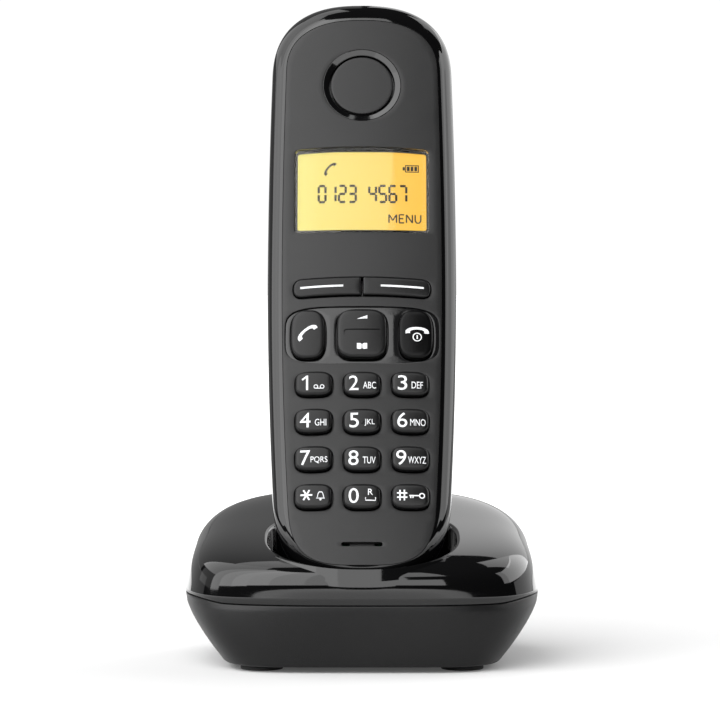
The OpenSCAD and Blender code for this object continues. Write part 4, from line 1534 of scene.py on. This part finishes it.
def build_base_shells():
    """Dome and tub, with holes for the charge pins, the jacks, the page button and the screws."""
    dome = piece("polished_dome", base_upper(), base_point, "base", ["base_upper_shell"],
                 BLACK, sharp=60)
    solidify(dome, DOME_WALL * MM, sharp=60)
    pins = [lathe_along([(PIN_BORE, -6), (PIN_BORE, 4)], x, PIN_W, 40) for x in (-PIN_X, PIN_X)]
    cut(dome, [(pin, handset_point) for pin in pins], sharp=50)
    tub = piece("satin_tub", base_lower(), base_point, "base", ["base_lower_shell"],
                TUB_SATIN, sharp=50)
    cuts = []
    for name in ("line_jack", "power_jack"):
        (x0, y0, z0), (x1, y1, z1) = [millimetres(corner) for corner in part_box(name)]
        hole = box_shape((x0 - SHELL_GAP, y0 - SHELL_GAP, z0 - SHELL_GAP),
                         (x1 + SHELL_GAP, y1 + SHELL_GAP + 12, z1 + SHELL_GAP))
        cuts.append((hole, row_point))
    bore = PAGE_RADIUS + SHELL_GAP
    tunnel = lathe_along([(bore, PAGE_OUTER - 5), (bore, PAGE_OUTER + 5)], 0, PAGE_Z, 64)
    cuts.append((tunnel, row_point))
    cuts += [(cylinder(x, y, POST_HOLE, -1, 5.4), base_point) for x, y in POST_PLACES]
    cut(tub, cuts, sharp=50)


build_base_shells()


def build_feet():
    """Rubber feet with a rounded edge and a shallow ring in the sole."""
    profile = [(0.05, FOOT_HEIGHT), (FOOT_RADIUS - 0.1, FOOT_HEIGHT), (FOOT_RADIUS, FOOT_HEIGHT - 0.1)]
    profile += arc(FOOT_RADIUS - 0.35, 0.35, 0.35, [-a for a in quarter(5)])
    profile += [(3.6, 0.0), (3.45, 0.15), (2.75, 0.15), (2.6, 0.0), (0.05, 0.0)]
    feet = [lathe(profile, 64, x, y) for x, y in FOOT_PLACES]
    piece("rubber_feet", joined(*feet), base_point, "base", ["base_feet"],
          RUBBER, sharp=40)


build_feet()


def build_page_button():
    """Round button with a flange inside the wall, a rounded edge and a shallow dish."""
    flange = PAGE_RADIUS + 0.5
    profile = [(0.02, PAGE_INNER), (flange, PAGE_INNER), (flange, PAGE_INNER + 0.7),
               (PAGE_RADIUS, PAGE_INNER + 0.7)]
    profile += arc(PAGE_RADIUS - 0.6, PAGE_OUTER - 0.6, 0.6, quarter(6))
    profile += [(1.8, PAGE_OUTER - 0.02), (1.0, PAGE_OUTER - 0.18), (0.02, PAGE_OUTER - 0.25)]
    piece("page_button_cap", lathe_along(profile, 0, PAGE_Z, 72), row_point, "page_button",
          ["page_button"], KEY_SATIN, sharp=50)


build_page_button()

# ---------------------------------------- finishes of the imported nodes

# Nodes that no piece stands for: only their material changes
FINISHES = {
    BOARD: ("base_pcb", "handset_pcb"),
    CELL: ("battery_cell_left", "battery_cell_right"),
    DIFFUSER: ("lcd_backlight",),
    FILM: ("dome_sheet",),
    GOLD: ("charge_pin_left", "charge_pin_right", "handset_antenna", "handset_charge_pads"),
    SILICONE: ("key_mat",),
    SOCKET: ("line_jack", "power_jack", "charge_pin_block", "lcd_frame", "microphone", "battery_bay"),
    STEEL: ("base_screws", "charge_springs", "battery_contacts", "handset_screws"),
    TIN: ("base_rf_shield", "page_switch", "receiver_capsule", "handset_rf_shield", "ringer_speaker"),
}
for finish, node_names in FINISHES.items():
    for node_name in node_names:
        mesh = frame["nodes"][node_name].data
        mesh.materials.clear()
        mesh.materials.append(finish)

# ---------------------------------------- floor, light and camera

FLOOR_RADIUS = 6.0
# The floor glows a little under the phone and more from here to there, in metres from the middle; the
# weaker glow near the phone leaves the floor there darker, painted shade
FLOOR_GLOW = 0.07
FLOOR_NEAR = 0.12
FLOOR_FAR = 0.45


def build_floor():
    surface = Surface("pale_floor", Roughness=0.6, Specular_IOR_Level=0.2, Emission_Color=(1, 1, 1, 1))
    surface.colour(surface.noise(8), near_grey(0.62, 0), near_grey(0.64, 0))
    far = surface.nodes.new("ShaderNodeVectorMath")
    far.operation = "LENGTH"
    surface.links.new(surface.place(), far.inputs[0])
    # Glow rising with distance from the middle: painted shade near the phone
    glow = surface.spread(far.outputs["Value"], FLOOR_GLOW, 1.1, FLOOR_NEAR, FLOOR_FAR)
    surface.plug("Emission Strength", glow)
    mesh = bpy.data.meshes.new("floor")
    mesh.from_pydata(at_height(circle(0, 0, FLOOR_RADIUS, 64), 0), [], [tuple(range(64))])
    mesh.materials.append(surface.material)
    floor = linked("floor", mesh)
    floor.location.z = cad_box[0][2]
    floor.visible_diffuse = False


def azimuth_point(angle, distance):
    """Place on the floor, the angle in degrees from the camera's side and positive to the right."""
    a = math.radians(angle)
    return Vector((distance * math.sin(a), -distance * math.cos(a), 0))


def wall_of_light(name, start, end, distance, low, high, brightness):
    """Upright softbox between two azimuths and two heights in metres; brightness is its radiance,
    with 1 as white."""
    first = azimuth_point(start, distance)
    last = azimuth_point(end, distance)
    middle = (first + last) / 2
    lamp = bpy.data.lights.new(name, "AREA")
    lamp.shape = "RECTANGLE"
    lamp.size = (last - first).length
    lamp.size_y = high - low
    lamp.energy = brightness * math.pi * lamp.size * lamp.size_y
    obj = linked(name, lamp)
    obj.location = middle + Vector((0, 0, (low + high) / 2))
    obj.rotation_euler = (-middle).to_track_quat("-Z", "Y").to_euler()
    obj.visible_camera = False


def build_world():
    """White to the camera, almost dark to everything else."""
    world = bpy.data.worlds.new("studio")
    bpy.context.scene.world = world
    world.use_nodes = True
    nodes = world.node_tree.nodes
    links = world.node_tree.links
    nodes.clear()
    output = nodes.new("ShaderNodeOutputWorld")
    mix = nodes.new("ShaderNodeMixShader")
    path = nodes.new("ShaderNodeLightPath")
    links.new(path.outputs["Is Camera Ray"], mix.inputs[0])
    for strength, socket in ((WORLD_FILL, 1), (WORLD_SEEN, 2)):
        background = nodes.new("ShaderNodeBackground")
        set_inputs(background, Color=(1, 1, 1, 1), Strength=strength)
        links.new(background.outputs[0], mix.inputs[socket])
    links.new(mix.outputs[0], output.inputs[0])


WORLD_FILL = 0.015
WORLD_SEEN = 1.05

# Softboxes: name, azimuths, distance, heights, brightness
LIGHTS = [
    ("front", 7, -10, 3.1, 0.45, 14, 3.0), ("front_right_low", 22, 7, 3.1, 0.45, 2.0, 3.0),
    ("front_right_high", 30, 7, 3.1, 3.9, 14, 2.6), ("front_left", -10, -28, 3.1, 0.45, 14, 3.8),
    ("front_left_2", -28, -46, 3.1, 0.45, 14, 4.6), ("left_front", -46, -64, 3.1, 0.4, 14, 4.8),
    ("left", -64, -82, 3.1, 0.4, 14, 4.0), ("left_2", -82, -97, 3.1, 0.3, 14, 3.0),
    ("left_back_low", -97, -126, 3.1, 0.3, 1.35, 0.4), ("left_back_high", -97, -135, 3.1, 1.35, 11, 2.0),
    ("left_back_top", -135, -170, 3.1, 4.8, 11, 1.7),
    ("right", 82, 92, 3.0, 0.5, 2.4, 2.3), ("right_low", 92, 150, 3.0, 0.5, 2.3, 3.1),
    ("right_high", 114, 150, 3.0, 2.3, 5.0, 2.0), ("back_low", 100, 180, 3.3, 0.02, 0.5, 0.9),
    ("back_right", 150, 179, 3.0, 0.55, 3.2, 1.4),
    ("back_left_low", 180, 250, 3.3, 0.02, 0.7, 0.4), ("back_left", 180, 228, 3.0, 0.7, 4.4, 0.34),
]


CAMERA_DISTANCE = 0.909
CAMERA_HEIGHT = 0.1052
CAMERA_PITCH = 1.90
CAMERA_LENS = 180.7


def build_camera():
    data = bpy.data.cameras.new("camera")
    data.sensor_width = 36
    data.lens = CAMERA_LENS
    data.clip_end = 30
    camera = linked("camera", data)
    camera.location = Vector((-0.0005, BASE_CENTRE_Y - CAMERA_DISTANCE, CAMERA_HEIGHT))
    camera.rotation_euler = (math.radians(90 - CAMERA_PITCH), 0, 0)
    bpy.context.scene.camera = camera


build_floor()
build_world()
for light in LIGHTS:
    wall_of_light(*light)
build_camera()
bpy.context.scene.view_settings.view_transform = "Standard"
